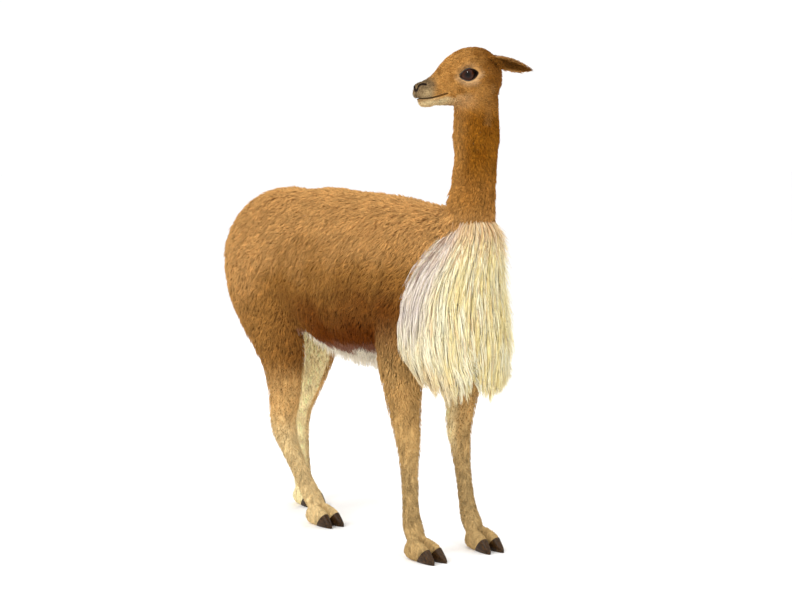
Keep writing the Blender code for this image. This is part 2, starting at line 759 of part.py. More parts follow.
def bib_locks():
    """Tiers of locks that hang over one another, from the base of the throat to below the breast."""
    draw = random.Random(11)
    locks = []
    for tier, (height, count, widest, length) in enumerate(BIB_TIERS):
        for k in range(count):
            share = (k + 0.5 + LOCK_STAGGER * (-1) ** tier) / count * 2 - 1
            angle = math.radians(widest) * share + draw.uniform(-LOCK_TURN, LOCK_TURN)
            start = height + draw.uniform(-LOCK_RISE, LOCK_RISE)
            reach = length * draw.uniform(*LOCK_REACH)
            sway = draw.uniform(-LOCK_SWAY, LOCK_SWAY) - LOCK_INWARD * angle
            curl = draw.uniform(-LOCK_CURL, LOCK_CURL)
            flare = LOCK_FLARE * draw.uniform(*LOCK_FLARES)
            path = []
            for i in range(LOCK_POINTS):
                t = i / (LOCK_POINTS - 1)
                rise = math.sin(t * math.pi * LOCK_RUN[0]) ** LOCK_RUN[1]
                lift = -LOCK_SINK + (LOCK_SINK + flare) * rise
                turn = angle + sway * t * t + curl * math.sin(t * math.pi * 2)
                path.append(drape_point(turn, start - reach * t, lift))
            across = Vector((-math.sin(angle), math.cos(angle), 0.0))
            width = LOCK_WIDTH * draw.uniform(*LOCK_WIDTHS)
            locks.append(flat_lock(path, across, width, LOCK_DEPTH, "bib"))
    return locks


def make_bib(torso, neck, legs):
    """The bib's core with its locks, laid against the breast."""
    rows = []
    for height, middle, forward, half, deep in DRAPE:
        if height > BIB_CORE_BOTTOM:
            rows.append((middle, 0.0, height, forward - deep, BIB_CORE_BACK, half - deep))
    top, low = rows[0], rows[-1]
    ahead, drop, share = BIB_CORE_END
    rows = [(top[0], 0.0, top[2] + BIB_CORE_TOP, 0.0, 0.0, 0.0), *rows]
    last = [low[0] + ahead, 0.0, BIB_CORE_BOTTOM, low[3] * share, BIB_CORE_BACK / 2]
    rows.append((*last, low[5] * share))
    rows.append((low[0] + 2 * ahead, 0.0, BIB_CORE_BOTTOM - drop, 0.0, 0.0, 0.0))
    core = tube("bib", rows, 20, 12, finish="bib")
    bib = union_of("chest_bib", [core, *bib_locks()], "bib")
    return minus(bib, torso, neck, *legs)


def tail_locks():
    """Overlapping tufts round the tail, which make it bushy down to its tip."""
    draw = random.Random(5)
    rows = np.array(TAIL, float)
    locks = []
    for tier, (place, count, length) in enumerate(TAIL_TIERS):
        for k in range(count):
            angle = 2 * math.pi * (k + 0.5 * (tier % 2)) / count
            angle += draw.uniform(-TAIL_TURN, TAIL_TURN)
            spread = Vector((-math.cos(angle), math.sin(angle), 0.0))
            across = Vector((math.sin(angle), math.cos(angle), 0.0))
            path = []
            for i in range(LOCK_POINTS):
                t = i / (LOCK_POINTS - 1)
                drop = length * draw.uniform(*TAIL_DROP) * t
                row = along_rows(rows, place)
                middle = Vector(row[:3])
                under = along_rows(rows, min(place + TAIL_RUN * t, len(rows) - 1))
                middle.x = under[0]
                middle.z = row[2] - drop
                wide = abs(spread.x) * row[3] + abs(spread.y) * row[5]
                root, swelling, run_on, inward = TAIL_LIFT
                lift = wide * (root + swelling * math.sin(t * math.pi * run_on) - inward * t * t)
                path.append(middle + spread * lift)
            locks.append(flat_lock(path, across, *TAIL_LOCK, "coat"))
    return locks


def make_tail(torso):
    core = tube("tail_core", TAIL, 10, 10)
    return minus(union_of("tail", [core, *tail_locks()], "coat"), torso)


def main():
    clear_scene()
    place = head_matrix()
    legs = leg_rings()
    trunk_rows = [(x, 0.0, z, up, down, half) for x, z, up, down, half in TRUNK]
    pieces = [tube("trunk", trunk_rows, 48, 48, BODY_ROUNDNESS), tube("neck", NECK, 32, 40)]
    pieces += [tube("leg_" + key, rings, 24, 44) for key, rings in legs.items()]
    whole = fuse("whole", pieces, BODY_MELT)

    neck = halve(halve(copy_of(whole, "neck"), NECK_BASE, True), THROAT, False)
    torso = halve(whole, NECK_BASE, False)
    torso.name = "torso"
    leg_nodes = []
    for key in legs:
        region = leg_region(key)
        leg = boolean(copy_of(torso, "leg_" + key), region, "INTERSECT")
        leg_nodes.append(keep_largest(leg))
        tool = swollen(region)
        boolean(torso, tool, "DIFFERENCE")
        remove(region, tool)
    keep_largest(torso)

    for node, rings in zip(leg_nodes, legs.values()):
        key = node.name[len("leg_") :]
        for side, word in ((1, "left"), (-1, "right")):
            outer = (word == "left") == key.endswith("left")
            name = f"toe_{key}_{'outer' if outer else 'inner'}"
            flesh, _ = digit(name, rings, side)
            minus(flesh, node)

    head = make_head()
    for side, word in ((1, "left"), (-1, "right")):
        centre = place @ Vector((EYE_AT[0], EYE_AT[1] * side, EYE_AT[2]))
        ball("eye_" + word, centre, [EYE_RADIUS] * 3, 12, 9, "eye")
        make_ear("ear_" + word, side, head)
    make_tail(torso)
    make_bib(torso, neck, leg_nodes)
    centre_on_origin()


def centre_on_origin():
    """Moves every piece so that the box's bottom centre is the origin."""
    nodes = [o for o in bpy.context.scene.objects if o.type == "MESH"]
    corners = [v.co for o in nodes for v in o.data.vertices]
    low = [min(c[k] for c in corners) for k in range(3)]
    high = [max(c[k] for c in corners) for k in range(3)]
    shift = Vector((-(low[0] + high[0]) / 2, -(low[1] + high[1]) / 2, -low[2]))
    for obj in nodes:
        obj.location = shift
        obj.data.shade_smooth()
        obj.data.set_sharp_from_angle(angle=SHARP_EDGE)


main()
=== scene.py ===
"""The looks of a life-size standing vicuna: one skin, its short coat, long bib, tail, eyes and nails.

The skin is melted from copies of the frame's solids and a finer head and feet, lies inside them by
the depth of the coat, and carries the markings and the painted shade. Tufts and locks grow from it along the
coat's lie.
"""

import math

import bmesh
import bpy
import numpy as np
from mathutils import Matrix, Vector
from mathutils.bvhtree import BVHTree
from mathutils.kdtree import KDTree


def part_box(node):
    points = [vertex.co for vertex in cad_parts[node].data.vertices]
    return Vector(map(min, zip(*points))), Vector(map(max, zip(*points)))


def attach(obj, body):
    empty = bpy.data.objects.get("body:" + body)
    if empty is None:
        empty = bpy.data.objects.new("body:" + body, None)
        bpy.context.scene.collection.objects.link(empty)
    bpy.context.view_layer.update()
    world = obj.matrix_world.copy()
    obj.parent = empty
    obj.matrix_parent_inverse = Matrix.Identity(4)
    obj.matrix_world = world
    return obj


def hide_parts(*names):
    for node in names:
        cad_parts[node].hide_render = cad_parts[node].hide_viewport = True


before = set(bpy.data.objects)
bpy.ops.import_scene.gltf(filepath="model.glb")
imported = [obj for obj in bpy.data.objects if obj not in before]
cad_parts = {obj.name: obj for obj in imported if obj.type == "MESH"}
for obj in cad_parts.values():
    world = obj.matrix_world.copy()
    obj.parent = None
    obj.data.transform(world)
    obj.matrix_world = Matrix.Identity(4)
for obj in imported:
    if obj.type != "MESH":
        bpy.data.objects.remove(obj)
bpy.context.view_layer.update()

# Head: its own axes are forward a, left l and up v, about a point between the eyes and the jaw.
HEAD_AT = Vector((0.398, -0.022, 1.155))
HEAD_HEADING = math.radians(-99.0)
HEAD_PITCH = math.radians(-11.0)
# Skull and jaw rings from the poll to the lips: a, level, reach up, reach down, half width.
SKULL = [
    (-0.087, 0.006, 0.000, 0.000, 0.000),
    (-0.081, 0.006, 0.026, 0.034, 0.028),
    (-0.062, 0.005, 0.050, 0.060, 0.046),
    (-0.034, 0.005, 0.062, 0.072, 0.0540),
    (-0.006, 0.004, 0.064, 0.072, 0.0555),
    (0.022, 0.000, 0.058, 0.068, 0.0520),
    (0.046, -0.005, 0.049, 0.058, 0.0430),
    (0.070, -0.010, 0.0385, 0.0455, 0.0335),
    (0.094, -0.013, 0.031, 0.0365, 0.0275),
    (0.113, -0.014, 0.0265, 0.030, 0.0255),
    (0.128, -0.015, 0.020, 0.024, 0.0225),
    (0.137, -0.016, 0.011, 0.013, 0.0135),
    (0.1405, -0.016, 0.000, 0.000, 0.000),
]
SKULL_ROUND = 0.92
# Rounded masses under the skin of the head: centre a, l, v and half sizes; each is mirrored.
HEAD_MASSES = [
    ((0.008, 0.036, 0.034), (0.030, 0.016, 0.015)),
    ((0.036, 0.036, -0.006), (0.030, 0.010, 0.010)),
    ((-0.026, 0.036, -0.032), (0.036, 0.020, 0.034)),
    ((0.120, 0.0130, -0.014), (0.021, 0.0150, 0.0140)),
    ((0.124, 0.0115, 0.002), (0.014, 0.0105, 0.0095)),
    ((0.110, 0.0070, -0.039), (0.024, 0.0135, 0.0105)),
]
# Top of the neck: x, y, z, reach forward, reach back, half width.
NECK_TOP = [
    (0.398, 0.004, 1.170, 0.000, 0.000, 0.000),
    (0.400, 0.004, 1.140, 0.046, 0.048, 0.046),
    (0.404, 0.004, 1.070, 0.053, 0.055, 0.052),
    (0.405, 0.003, 0.985, 0.050, 0.052, 0.050),
    (0.401, 0.001, 0.915, 0.000, 0.000, 0.000),
]
EYE_RADIUS = 0.0232
EYE_AT = (0.019, 0.0322, 0.009)
# The lids' opening: half its length and height, how sharp its corners are, and how far out its cut
# lies and reaches.
EYE_OPENING = (0.0232, 0.0142)
EYE_CORNERS = 0.30
OPENING_OUT = 0.0255
OPENING_DEPTH = 0.026
LID_DEPTH = 0.0024
LID_RIM = 0.0013
EYE_PLAY = 0.0004
MOUTH = [
    (0.074, 0.0390, -0.0275),
    (0.092, 0.0310, -0.0290),
    (0.112, 0.0270, -0.0300),
    (0.130, 0.0220, -0.0290),
    (0.1395, 0.0110, -0.0275),
    (0.1425, 0.0000, -0.0270),
]
CLEFT = [(0.1400, 0.0, -0.0020), (0.1455, 0.0, -0.0120), (0.1440, 0.0, -0.0270)]
NOSTRIL = [
    (0.1400, 0.0050, -0.0050),
    (0.1360, 0.0095, 0.0015),
    (0.1280, 0.0145, 0.0060),
    (0.1190, 0.0185, 0.0055),
]
# Half thickness and half depth of the slits of the head.
MOUTH_CUT = (0.0013, 0.0070)
CLEFT_CUT = (0.0008, 0.0030)
NOSTRIL_CUT = (0.0021, 0.0060)
# The slits' lines as they lie on the finished skin. open_head fills them in.
LINES = {}
EAR_LENGTH = 0.112
EAR_AT = Vector((-0.046, 0.034, 0.031))
EAR_AXIS = Vector((-0.54, 0.78, -0.32)).normalized()
EAR_OPENS = Vector((0.62, 0.34, -0.55))
EAR_FRONT = (EAR_OPENS - EAR_AXIS * EAR_OPENS.dot(EAR_AXIS)).normalized()
# Ear rings: share of the length, half width, depth of the curl, wall thickness.
EAR = np.array([
    (0.00, 0.0150, 0.008, 0.0180),
    (0.10, 0.0165, 0.012, 0.0130),
    (0.26, 0.0195, 0.015, 0.0060),
    (0.48, 0.0210, 0.014, 0.0038),
    (0.70, 0.0172, 0.010, 0.0030),
    (0.88, 0.0098, 0.005, 0.0024),
    (1.00, 0.0012, 0.001, 0.0014),
])
# Digit rings along its heading: distance, half width, reach up from the ground.
DIGIT = [
    (-0.045, 0.0000, 0.014),
    (-0.041, 0.0092, 0.030),
    (-0.030, 0.0130, 0.050),
    (-0.012, 0.0138, 0.065),
    (0.008, 0.0136, 0.059),
    (0.026, 0.0128, 0.043),
    (0.041, 0.0110, 0.029),
    (0.054, 0.0078, 0.017),
    (0.063, 0.0038, 0.008),
    (0.067, 0.0000, 0.004),
]
# The skin's own digits are slimmer at the heel and over the top, under their hair.
SLIM_DIGIT = [
    (-0.043, 0.0000, 0.014),
    (-0.039, 0.0088, 0.027),
    (-0.028, 0.0120, 0.044),
    (-0.012, 0.0126, 0.054),
    (0.008, 0.0128, 0.050),
    *DIGIT[5:],
]
DIGIT_LEVEL = 0.42
DIGIT_ROUND = 0.85
PAD_UNDER = 0.004
DIGIT_OUT = 0.0142
DIGIT_SPLAY = math.radians(3.0)
FOOT_TURN = math.radians(4.0)
NAIL_START = 0.008
NAIL_SLANT = 0.95
NAIL_COVER = 0.004
NAIL_EDGE = Vector((1.0, 0.0, -NAIL_SLANT)).normalized()
# Bib: height, middle x, reach forward, half width of the surface on which the chest hair lies.
DRAPE = np.array([
    (0.840, 0.393, 0.058, 0.054),
    (0.815, 0.391, 0.064, 0.060),
    (0.780, 0.384, 0.076, 0.072),
    (0.740, 0.366, 0.092, 0.090),
    (0.690, 0.344, 0.112, 0.112),
    (0.630, 0.334, 0.126, 0.132),
    (0.570, 0.332, 0.130, 0.142),
    (0.500, 0.334, 0.130, 0.142),
    (0.440, 0.346, 0.114, 0.120),
    (0.390, 0.356, 0.098, 0.102),
    (0.340, 0.360, 0.088, 0.092),
])
# Hem of the bib: angle from straight ahead in degrees (the animal's right is negative), height.
HEM = np.array([
    (-110, 0.520),
    (-95, 0.500),
    (-78, 0.432),
    (-60, 0.402),
    (-50, 0.394),
    (-25, 0.392),
    (-19, 0.405),
    (-15, 0.478),
    (-10, 0.455),
    (-4, 0.425),
    (5, 0.400),
    (12, 0.398),
    (30, 0.405),
    (60, 0.406),
    (80, 0.430),
    (100, 0.500),
])
# Edge of the bib on the body: height, angle from straight ahead in degrees.
BIB_EDGE = np.array([
    (0.44, 78),
    (0.50, 98),
    (0.62, 104),
    (0.68, 106),
    (0.72, 109),
    (0.76, 114),
    (0.785, 115),
    (0.798, 90),
    (0.815, 66),
])
BIB_TOP = 0.822
BIB_LOW = 0.455
BIB_SWING = 0.010
BIB_PLACES = 6
# One lock of the bib: its breadth in degrees and its height.
LOCK_ANGLE = 4.6
LOCK_HEIGHT = 0.045
CROWN_SHARE = 0.22
WISP_SHARE = 0.22
BIB_CORE_BOTTOM = 0.462
BIB_CORE_DEPTH = 0.024
# Tail: x, y, z, reach ahead, reach behind, half width, from its root to its tip.
TAIL = np.array([
    (-0.560, 0.000, 0.782, 0.000, 0.000, 0.000),
    (-0.580, 0.000, 0.775, 0.024, 0.024, 0.028),
    (-0.612, 0.000, 0.752, 0.027, 0.027, 0.034),
    (-0.636, 0.002, 0.706, 0.029, 0.029, 0.040),
    (-0.643, 0.003, 0.652, 0.028, 0.028, 0.040),
    (-0.640, 0.004, 0.602, 0.022, 0.022, 0.031),
    (-0.634, 0.004, 0.562, 0.011, 0.011, 0.015),
    (-0.630, 0.004, 0.540, 0.000, 0.000, 0.000),
])
TAIL_STEP = 0.040
TAIL_PLACES = 6
TAIL_LOCKS_ROUND = 24
TAIL_LOCK_RUN = 0.6
# The belly's lowest line along the trunk: x, height.
BELLY = np.array([
    (-0.45, 0.530),
    (-0.23, 0.509),
    (-0.11, 0.464),
    (0.02, 0.452),
    (0.13, 0.451),
    (0.24, 0.458),
])

FLESH = ["head", "neck", "torso", "leg_fore_right", "leg_fore_left", "leg_hind_right", "leg_hind_left"]
FEET = ["fore_right", "fore_left", "hind_right", "hind_left"]
GRAIN = 0.0028
SKIN_TRIANGLES = 168000
# Where the head begins above the neck, and where the forelegs' half and the rump begin along the body.
HEAD_LOW = 1.06
FORE_HALF = 0.05
RUMP_FROM = -0.10
# Heights between which the skin is thinned out, away from the fine head and feet.
THIN_ABOVE = 0.075
THIN_BELOW = 1.03
# Rounds of smoothing over the body, and over the head and the feet.
BODY_ROUNDS = 40
FINE_ROUNDS = 4
# Depth of the coat: each depth, and the heights from and to which it takes over.
SHIN_DEPTH = 0.0022
DEPTH_STEPS = ((0.0070, 0.10, 0.50), (0.0045, 0.88, 0.98), (0.0020, 1.03, 1.09))
FOOT_DEPTH = ((0.0006, 0.08, 0.03),)
# Points closer than this are merged, and this distance stands for nowhere near.
MERGE = 1e-6
FAR = 9.0
# How far the shapes swell before they melt, and how far above the ground the skin and the hair stay.
SWELL = 0.0006
SOLE = 0.0004
LOWEST = 0.0003


def eyes_middle():
    corners = [c for side in ("left", "right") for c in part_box("eye_" + side)]
    return sum(corners, Vector()) / 4


def head_matrix():
    turn = Matrix.Rotation(HEAD_HEADING, 4, "Z") @ Matrix.Rotation(-HEAD_PITCH, 4, "Y")
    return Matrix.Translation(HEAD_AT) @ turn


# The body is designed about its own origin. The frame's origin is under the middle of its box.
TO_FRAME = eyes_middle() - head_matrix() @ Vector((EYE_AT[0], 0.0, EYE_AT[2]))
TO_FRAME.z = 0.0


# Shapes


def along_rows(rows, place):
    """The row at a place from 0 to the last index, on a smooth curve through the rows."""
    last = len(rows) - 1
    i = min(int(place), last - 1)
    f = place - i
    p0, p1, p2, p3 = (rows[min(max(k, 0), last)] for k in (i - 1, i, i + 1, i + 2))
    return p1 + 0.5 * f * (
        p2 - p0 + f * (2 * p0 - 5 * p1 + 4 * p2 - p3 + f * (3 * (p1 - p2) + p3 - p0))
    )


def ring_frame(rows, place, across):
    """Row, direction of run, side and up at a place on the rows."""
    last = len(rows) - 1
    ahead = along_rows(rows, min(place + 0.05, last))
    behind = along_rows(rows, max(place - 0.05, 0.0))
    run = Vector(ahead[:3] - behind[:3]).normalized()
    side = (across - run * across.dot(run)).normalized()
    return along_rows(rows, place), side, run.cross(side)


def ball_points(bm, last):
    """Each vertex of a unit ball as (vertex, place along its axis from 0 to last, angle round it)."""
    for v in bm.verts:
        yield v, math.acos(max(-1.0, min(1.0, v.co.z))) / math.pi * last, math.atan2(v.co.y, v.co.x)


def new_ball(around, along):
    bm = bmesh.new()
    bmesh.ops.create_uvsphere(bm, u_segments=around, v_segments=along, radius=1.0)
    return bm


def moved(bm, matrix):
    bmesh.ops.transform(bm, matrix=matrix, verts=bm.verts)
    return bm


def closed(bm):
    bmesh.ops.remove_doubles(bm, verts=bm.verts, dist=MERGE)
    bmesh.ops.recalc_face_normals(bm, faces=bm.faces)
    return bm


def tube(rings, around, along, roundness=1.0, place=Matrix()):
    """A closed tube through rings of x, y, z, reach up or forward, reach back and half width."""
    rows = np.array(rings, float)
    bm = new_ball(around, along)
    for v, where, angle in ball_points(bm, len(rows) - 1):
        row, side, up = ring_frame(rows, where, Vector((0.0, 1.0, 0.0)))
        c, s = (math.copysign(abs(x) ** roundness, x) for x in (math.cos(angle), math.sin(angle)))
        reach = row[3] if s > 0 else row[4]
        v.co = Vector(row[:3]) + side * (c * max(row[5], 0.0)) + up * (s * max(reach, 0.0))
    return closed(moved(bm, place))


def ball(centre, radii, around=32, along=24, place=Matrix()):
    bm = new_ball(around, along)
    bmesh.ops.scale(bm, vec=radii, verts=bm.verts)
    bmesh.ops.translate(bm, vec=centre, verts=bm.verts)
    return moved(bm, place)


def groove(path, cut, along, thin, place):
    """A flat tube along a path, with half its thickness in one direction and half its depth."""
    rows = np.array([(*point, *cut) for point in [path[0], *path, path[-1]]], float)
    rows[0, 3:] = rows[-1, 3:] = 0.0
    rows[0, :3] += (rows[1, :3] - rows[2, :3]) * 0.1
    rows[-1, :3] += (rows[-2, :3] - rows[-3, :3]) * 0.1
    bm = new_ball(12, along)
    for v, where, angle in ball_points(bm, len(rows) - 1):
        row, up, deep = ring_frame(rows, where, Vector(thin))
        high, wide = max(row[3], 0.0), max(row[4], 0.0)
        v.co = Vector(row[:3]) + up * (math.sin(angle) * high) + deep * (math.cos(angle) * wide)
    return closed(moved(bm, place))


def link_new(name, data):
    obj = bpy.data.objects.new(name, data)
    bpy.context.scene.collection.objects.link(obj)
    return obj


def put_in_order(items, spots):
    """Sorts a shape's points or faces by their places, because their own order changes from run to run."""
    items.index_update()
    rank = np.empty(len(items))
    rank[np.lexsort(np.round(spots, 6).T)] = np.arange(len(items))
    items.sort(key=lambda item: rank[item.index])


def as_mesh(name, bm):
    put_in_order(bm.verts, [v.co for v in bm.verts])
    put_in_order(bm.faces, [f.calc_center_median() for f in bm.faces])
    mesh = bpy.data.meshes.new(name)
    bm.to_mesh(mesh)
    bm.free()
    return mesh


def as_object(name, bm):
    return link_new(name, as_mesh(name, bm))


def apply_modifiers(obj):
    bpy.context.view_layer.update()
    graph = bpy.context.evaluated_depsgraph_get()
    mesh = bpy.data.meshes.new_from_object(obj.evaluated_get(graph))
    old = obj.data
    obj.modifiers.clear()
    obj.data = mesh
    bpy.data.meshes.remove(old)
    return obj


def boolean(obj, bm, operation):
    tool = as_object("tool", bm)
    cut = obj.modifiers.new("Cut", "BOOLEAN")
    cut.operation = operation
    cut.object = tool
    cut.solver = "MANIFOLD"
    apply_modifiers(obj)
    bpy.data.objects.remove(tool)


def rows_of(items, field, width, kind=np.float32):
    """One field of all of a mesh's items as an array, with a row for each."""
    flat = np.empty(len(items) * width, kind)
    items.foreach_get(field, flat)
    return flat.reshape(-1, width)


def points_of(mesh):
    return rows_of(mesh.vertices, "co", 3).astype(float)


def normals_of(mesh):
    return rows_of(mesh.vertex_normals, "vector", 3).astype(float)


def set_points(mesh, points):
    mesh.vertices.foreach_set("co", np.ascontiguousarray(points, np.float32).ravel())
    mesh.update()


def ramp(x, low, high):
    """0 below low, 1 above high, smooth between; high may be the lower one."""
    t = np.clip((x - low) / (high - low), 0.0, 1.0)
    return t * t * (3.0 - 2.0 * t)


def stepped(value, height, steps):
    """A value that turns into each step's own one as the height passes from its start to its end."""
    for own, start, end in steps:
        value = value + (own - value) * ramp(height, start, end)
    return value


def look_up(rows, at):
    """The rows' second value where their first one is this."""
    return np.interp(at, rows[:, 0], rows[:, 1])


def wobble(p, size, seed, waves=9):
    """Smooth random values from about -1 to 1 over space, with features of about this size."""
    draw = np.random.default_rng(seed)
    total = np.zeros(len(p))
    for _ in range(waves):
        wave = draw.normal(size=3) * (2.2 / size)
        total += np.sin(p @ wave + draw.uniform(0, 2 * math.pi))
    return total * 0.85 / math.sqrt(waves)


def streaks(p, size, seed):
    """Random values in narrow streaks down the lie of the coat, about this wide."""
    lean = 0.10 + 0.36 * ramp(p[:, 0], 0.30, 0.10) * ramp(p[:, 2], 0.45, 0.60)
    along = np.column_stack((p[:, 0] - lean * p[:, 2], p[:, 1], 0.10 * p[:, 2]))
    return wobble(along, size, seed, 24)


def head_place(p):
    """Body points in the head's own axes."""
    matrix = np.array(head_matrix().inverted())
    return p @ matrix[:3, :3].T + matrix[:3, 3]


def one_side(h):
    """Head points, with those on its right mirrored to its left."""
    return np.column_stack((h[:, 0], np.abs(h[:, 1]), h[:, 2]))


def to_body(direction):
    """A direction in the head's axes, in the body's."""
    return direction @ np.array(head_matrix())[:3, :3].T


# Skin


def frame_copy(names, swell):
    """A merged copy of the frame's solids, pushed outwards, in the body's own coordinates."""
    bm = bmesh.new()
    for name in names:
        bm.from_mesh(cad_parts[name].data)
    bmesh.ops.remove_doubles(bm, verts=bm.verts, dist=MERGE)
    bm.normal_update()
    for v in bm.verts:
        v.co += v.normal * swell
    bmesh.ops.translate(bm, vec=-TO_FRAME, verts=bm.verts)
    return bm


def both_sides(point):
    return [point, (point[0], -point[1], point[2])]


def fine_head():
    place = head_matrix()
    rows = [(a, 0.0, level, up, down, half) for a, level, up, down, half in SKULL]
    shapes = [tube(rows, 72, 72, SKULL_ROUND, place), tube(NECK_TOP, 48, 40)]
    for centre, radii in HEAD_MASSES:
        shapes += [ball(spot, radii, place=place) for spot in both_sides(centre)]
    shapes += [ball(spot, [EYE_RADIUS + LID_DEPTH] * 3, 48, 36, place) for spot in both_sides(EYE_AT)]
    return shapes


def digit_rows(digit=DIGIT):
    rows = [(s, half, top, top * DIGIT_LEVEL) for s, half, top in digit]
    return [(s, 0.0, level, top - level, level + PAD_UNDER, half) for s, half, top, level in rows]


def foot_place(key):
    """Where a foot stands: its two digits' box lies where the frame's toes and nails have it."""
    turn = -FOOT_TURN if key.endswith("left") else FOOT_TURN
    names = [f"{part}_{key}_{side}" for part in ("toe", "nail") for side in ("inner", "outer")]
    corners = np.array([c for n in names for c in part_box(n)])
    middle = (corners.min(0) + corners.max(0)) / 2
    both = []
    for side in (1, -1):
        bm = tube(digit_rows(), 24, 24, DIGIT_ROUND, digit_place(Matrix.Rotation(turn, 4, "Z"), side))
        both += [v.co.copy() for v in bm.verts]
        bm.free()
    both = np.array(both)
    own = (both.min(0) + both.max(0)) / 2
    shift = Vector((middle[0] - own[0] - TO_FRAME.x, middle[1] - own[1] - TO_FRAME.y, 0.0))
    return Matrix.Translation(shift) @ Matrix.Rotation(turn, 4, "Z")


def digit_place(foot, side):
    heel = DIGIT[0][0]
    splay = Matrix.Rotation(side * DIGIT_SPLAY, 4, "Z")
    out = Matrix.Translation((heel, side * DIGIT_OUT, 0.0))
    return foot @ out @ splay @ Matrix.Translation((-heel, 0.0, 0.0))


def on_ground(bm):
    """Cuts a shape flat at the ground and closes it."""
    cut_flat(bm, Vector((0.0, 0.0, 0.0)), Vector((0.0, 0.0, -1.0)))
    return bm


def cut_flat(bm, point, outward):
    """Cuts away what lies beyond a plane and closes the cut."""
    whole = bm.verts[:] + bm.edges[:] + bm.faces[:]
    bmesh.ops.bisect_plane(
        bm, geom=whole, dist=1e-7, plane_co=point, plane_no=outward, clear_outer=True
    )
    rim = [e for e in bm.edges if e.is_boundary]
    filled = bmesh.ops.holes_fill(bm, edges=rim, sides=0)["faces"]
    bmesh.ops.triangulate(bm, faces=filled)
    bmesh.ops.recalc_face_normals(bm, faces=bm.faces)


def fine_foot(key):
    shapes = []
    foot = foot_place(key)
    for side in (1, -1):
        digit = tube(digit_rows(SLIM_DIGIT), 24, 32, DIGIT_ROUND)
        cut_flat(digit, Vector((NAIL_START + NAIL_COVER, 0.0, 0.0)), NAIL_EDGE)
        shapes.append(on_ground(moved(digit, digit_place(foot, side))))
    return shapes


def bib_core():
    """The thick undercoat of the chest, which the long hair hides."""
    rows = []
    for height, middle, forward, half in DRAPE[1:]:
        if height > BIB_CORE_BOTTOM:
            deep = BIB_CORE_DEPTH if height < 0.75 else BIB_CORE_DEPTH * 0.6
            rows.append((middle, 0.0, height, forward - deep, 0.02, half - deep))
    top, low = rows[0], rows[-1]
    rows = [(top[0] - 0.01, 0.0, top[2] + 0.03, 0.0, 0.0, 0.0), *rows]
    rows.append((low[0] + 0.010, 0.0, BIB_CORE_BOTTOM, low[3] * 0.7, 0.01, low[5] * 0.7))
    rows.append((low[0] + 0.020, 0.0, BIB_CORE_BOTTOM - 0.014, 0.0, 0.0, 0.0))
    return tube(rows, 48, 48)


def relax(mesh, points, strength, rounds):
    """Moves each point towards the middle of its neighbours, by its own strength."""
    a, b = rows_of(mesh.edges, "vertices", 2, np.int32).T
    many = len(points)
    count = (np.bincount(a, minlength=many) + np.bincount(b, minlength=many))[:, None]
    for _ in range(rounds):
        total = np.empty_like(points)
        for k in range(3):
            total[:, k] = np.bincount(a, points[b, k], many) + np.bincount(b, points[a, k], many)
        points = points + (total / count - points) * strength[:, None]
    return points


def eye_distance(p):
    """How far body points lie from the nearer eye's almond: under 1 is inside it."""
    h = head_place(p)
    across = (h[:, 0] - EYE_AT[0]) / EYE_OPENING[0]
    up = np.abs(h[:, 2] - EYE_AT[2]) / EYE_OPENING[1]
    far = np.sqrt(across * across + up ** 1.25)
    return np.where((np.abs(h[:, 1]) > 0.03) & (p[:, 2] > 1.08), far, FAR)


def coat_depth(p):
    """How deep under the coat's outer surface the skin lies."""
    z = p[:, 2]
    deep = stepped(SHIN_DEPTH, z, DEPTH_STEPS)
    muzzle = ramp(head_place(p)[:, 0], 0.05, 0.10) * (z > 1.03)
    deep = stepped(deep * (1 - 0.5 * muzzle), z, FOOT_DEPTH)
    return deep * ramp(eye_distance(p), 1.1, 1.8)


def make_skin():
    whole = frame_copy([n for n in FLESH if n != "head"], SWELL)
    shapes = [*fine_head(), bib_core(), tube(TAIL, 32, 32)]
    for key in FEET:
        shapes += fine_foot(key)
    for shape in shapes:
        mesh = as_mesh("shape", shape)
        whole.from_mesh(mesh)
        bpy.data.meshes.remove(mesh)
    skin = as_object("skin", whole)
    melt = skin.modifiers.new("Melt", "REMESH")
    melt.mode = "VOXEL"
    melt.voxel_size = GRAIN
    apply_modifiers(skin)
    points = points_of(skin.data)
    z = points[:, 2]
    fine = np.maximum(ramp(z, 1.00, 1.06), ramp(z, 0.085, 0.050))
    points = relax(skin.data, points, 0.6 - 0.5 * fine, BODY_ROUNDS)
    points = relax(skin.data, points, 0.5 * fine, FINE_ROUNDS)
    set_points(skin.data, points)
    points = points - normals_of(skin.data) * coat_depth(points)[:, None]
    points[:, 2] = np.maximum(points[:, 2], SOLE)
    set_points(skin.data, points)
    thin = skin.vertex_groups.new(name="thin")
    z = points[:, 2]
    body = np.nonzero((z < THIN_BELOW) & (z > THIN_ABOVE))[0]
    thin.add(body.tolist(), 1.0, "REPLACE")
    shrink = skin.modifiers.new("Thin", "DECIMATE")
    shrink.ratio = SKIN_TRIANGLES / (2.0 * len(skin.data.polygons))
    shrink.vertex_group = "thin"
    apply_modifiers(skin)
    skin.vertex_groups.clear()
    open_head(skin)
    return skin


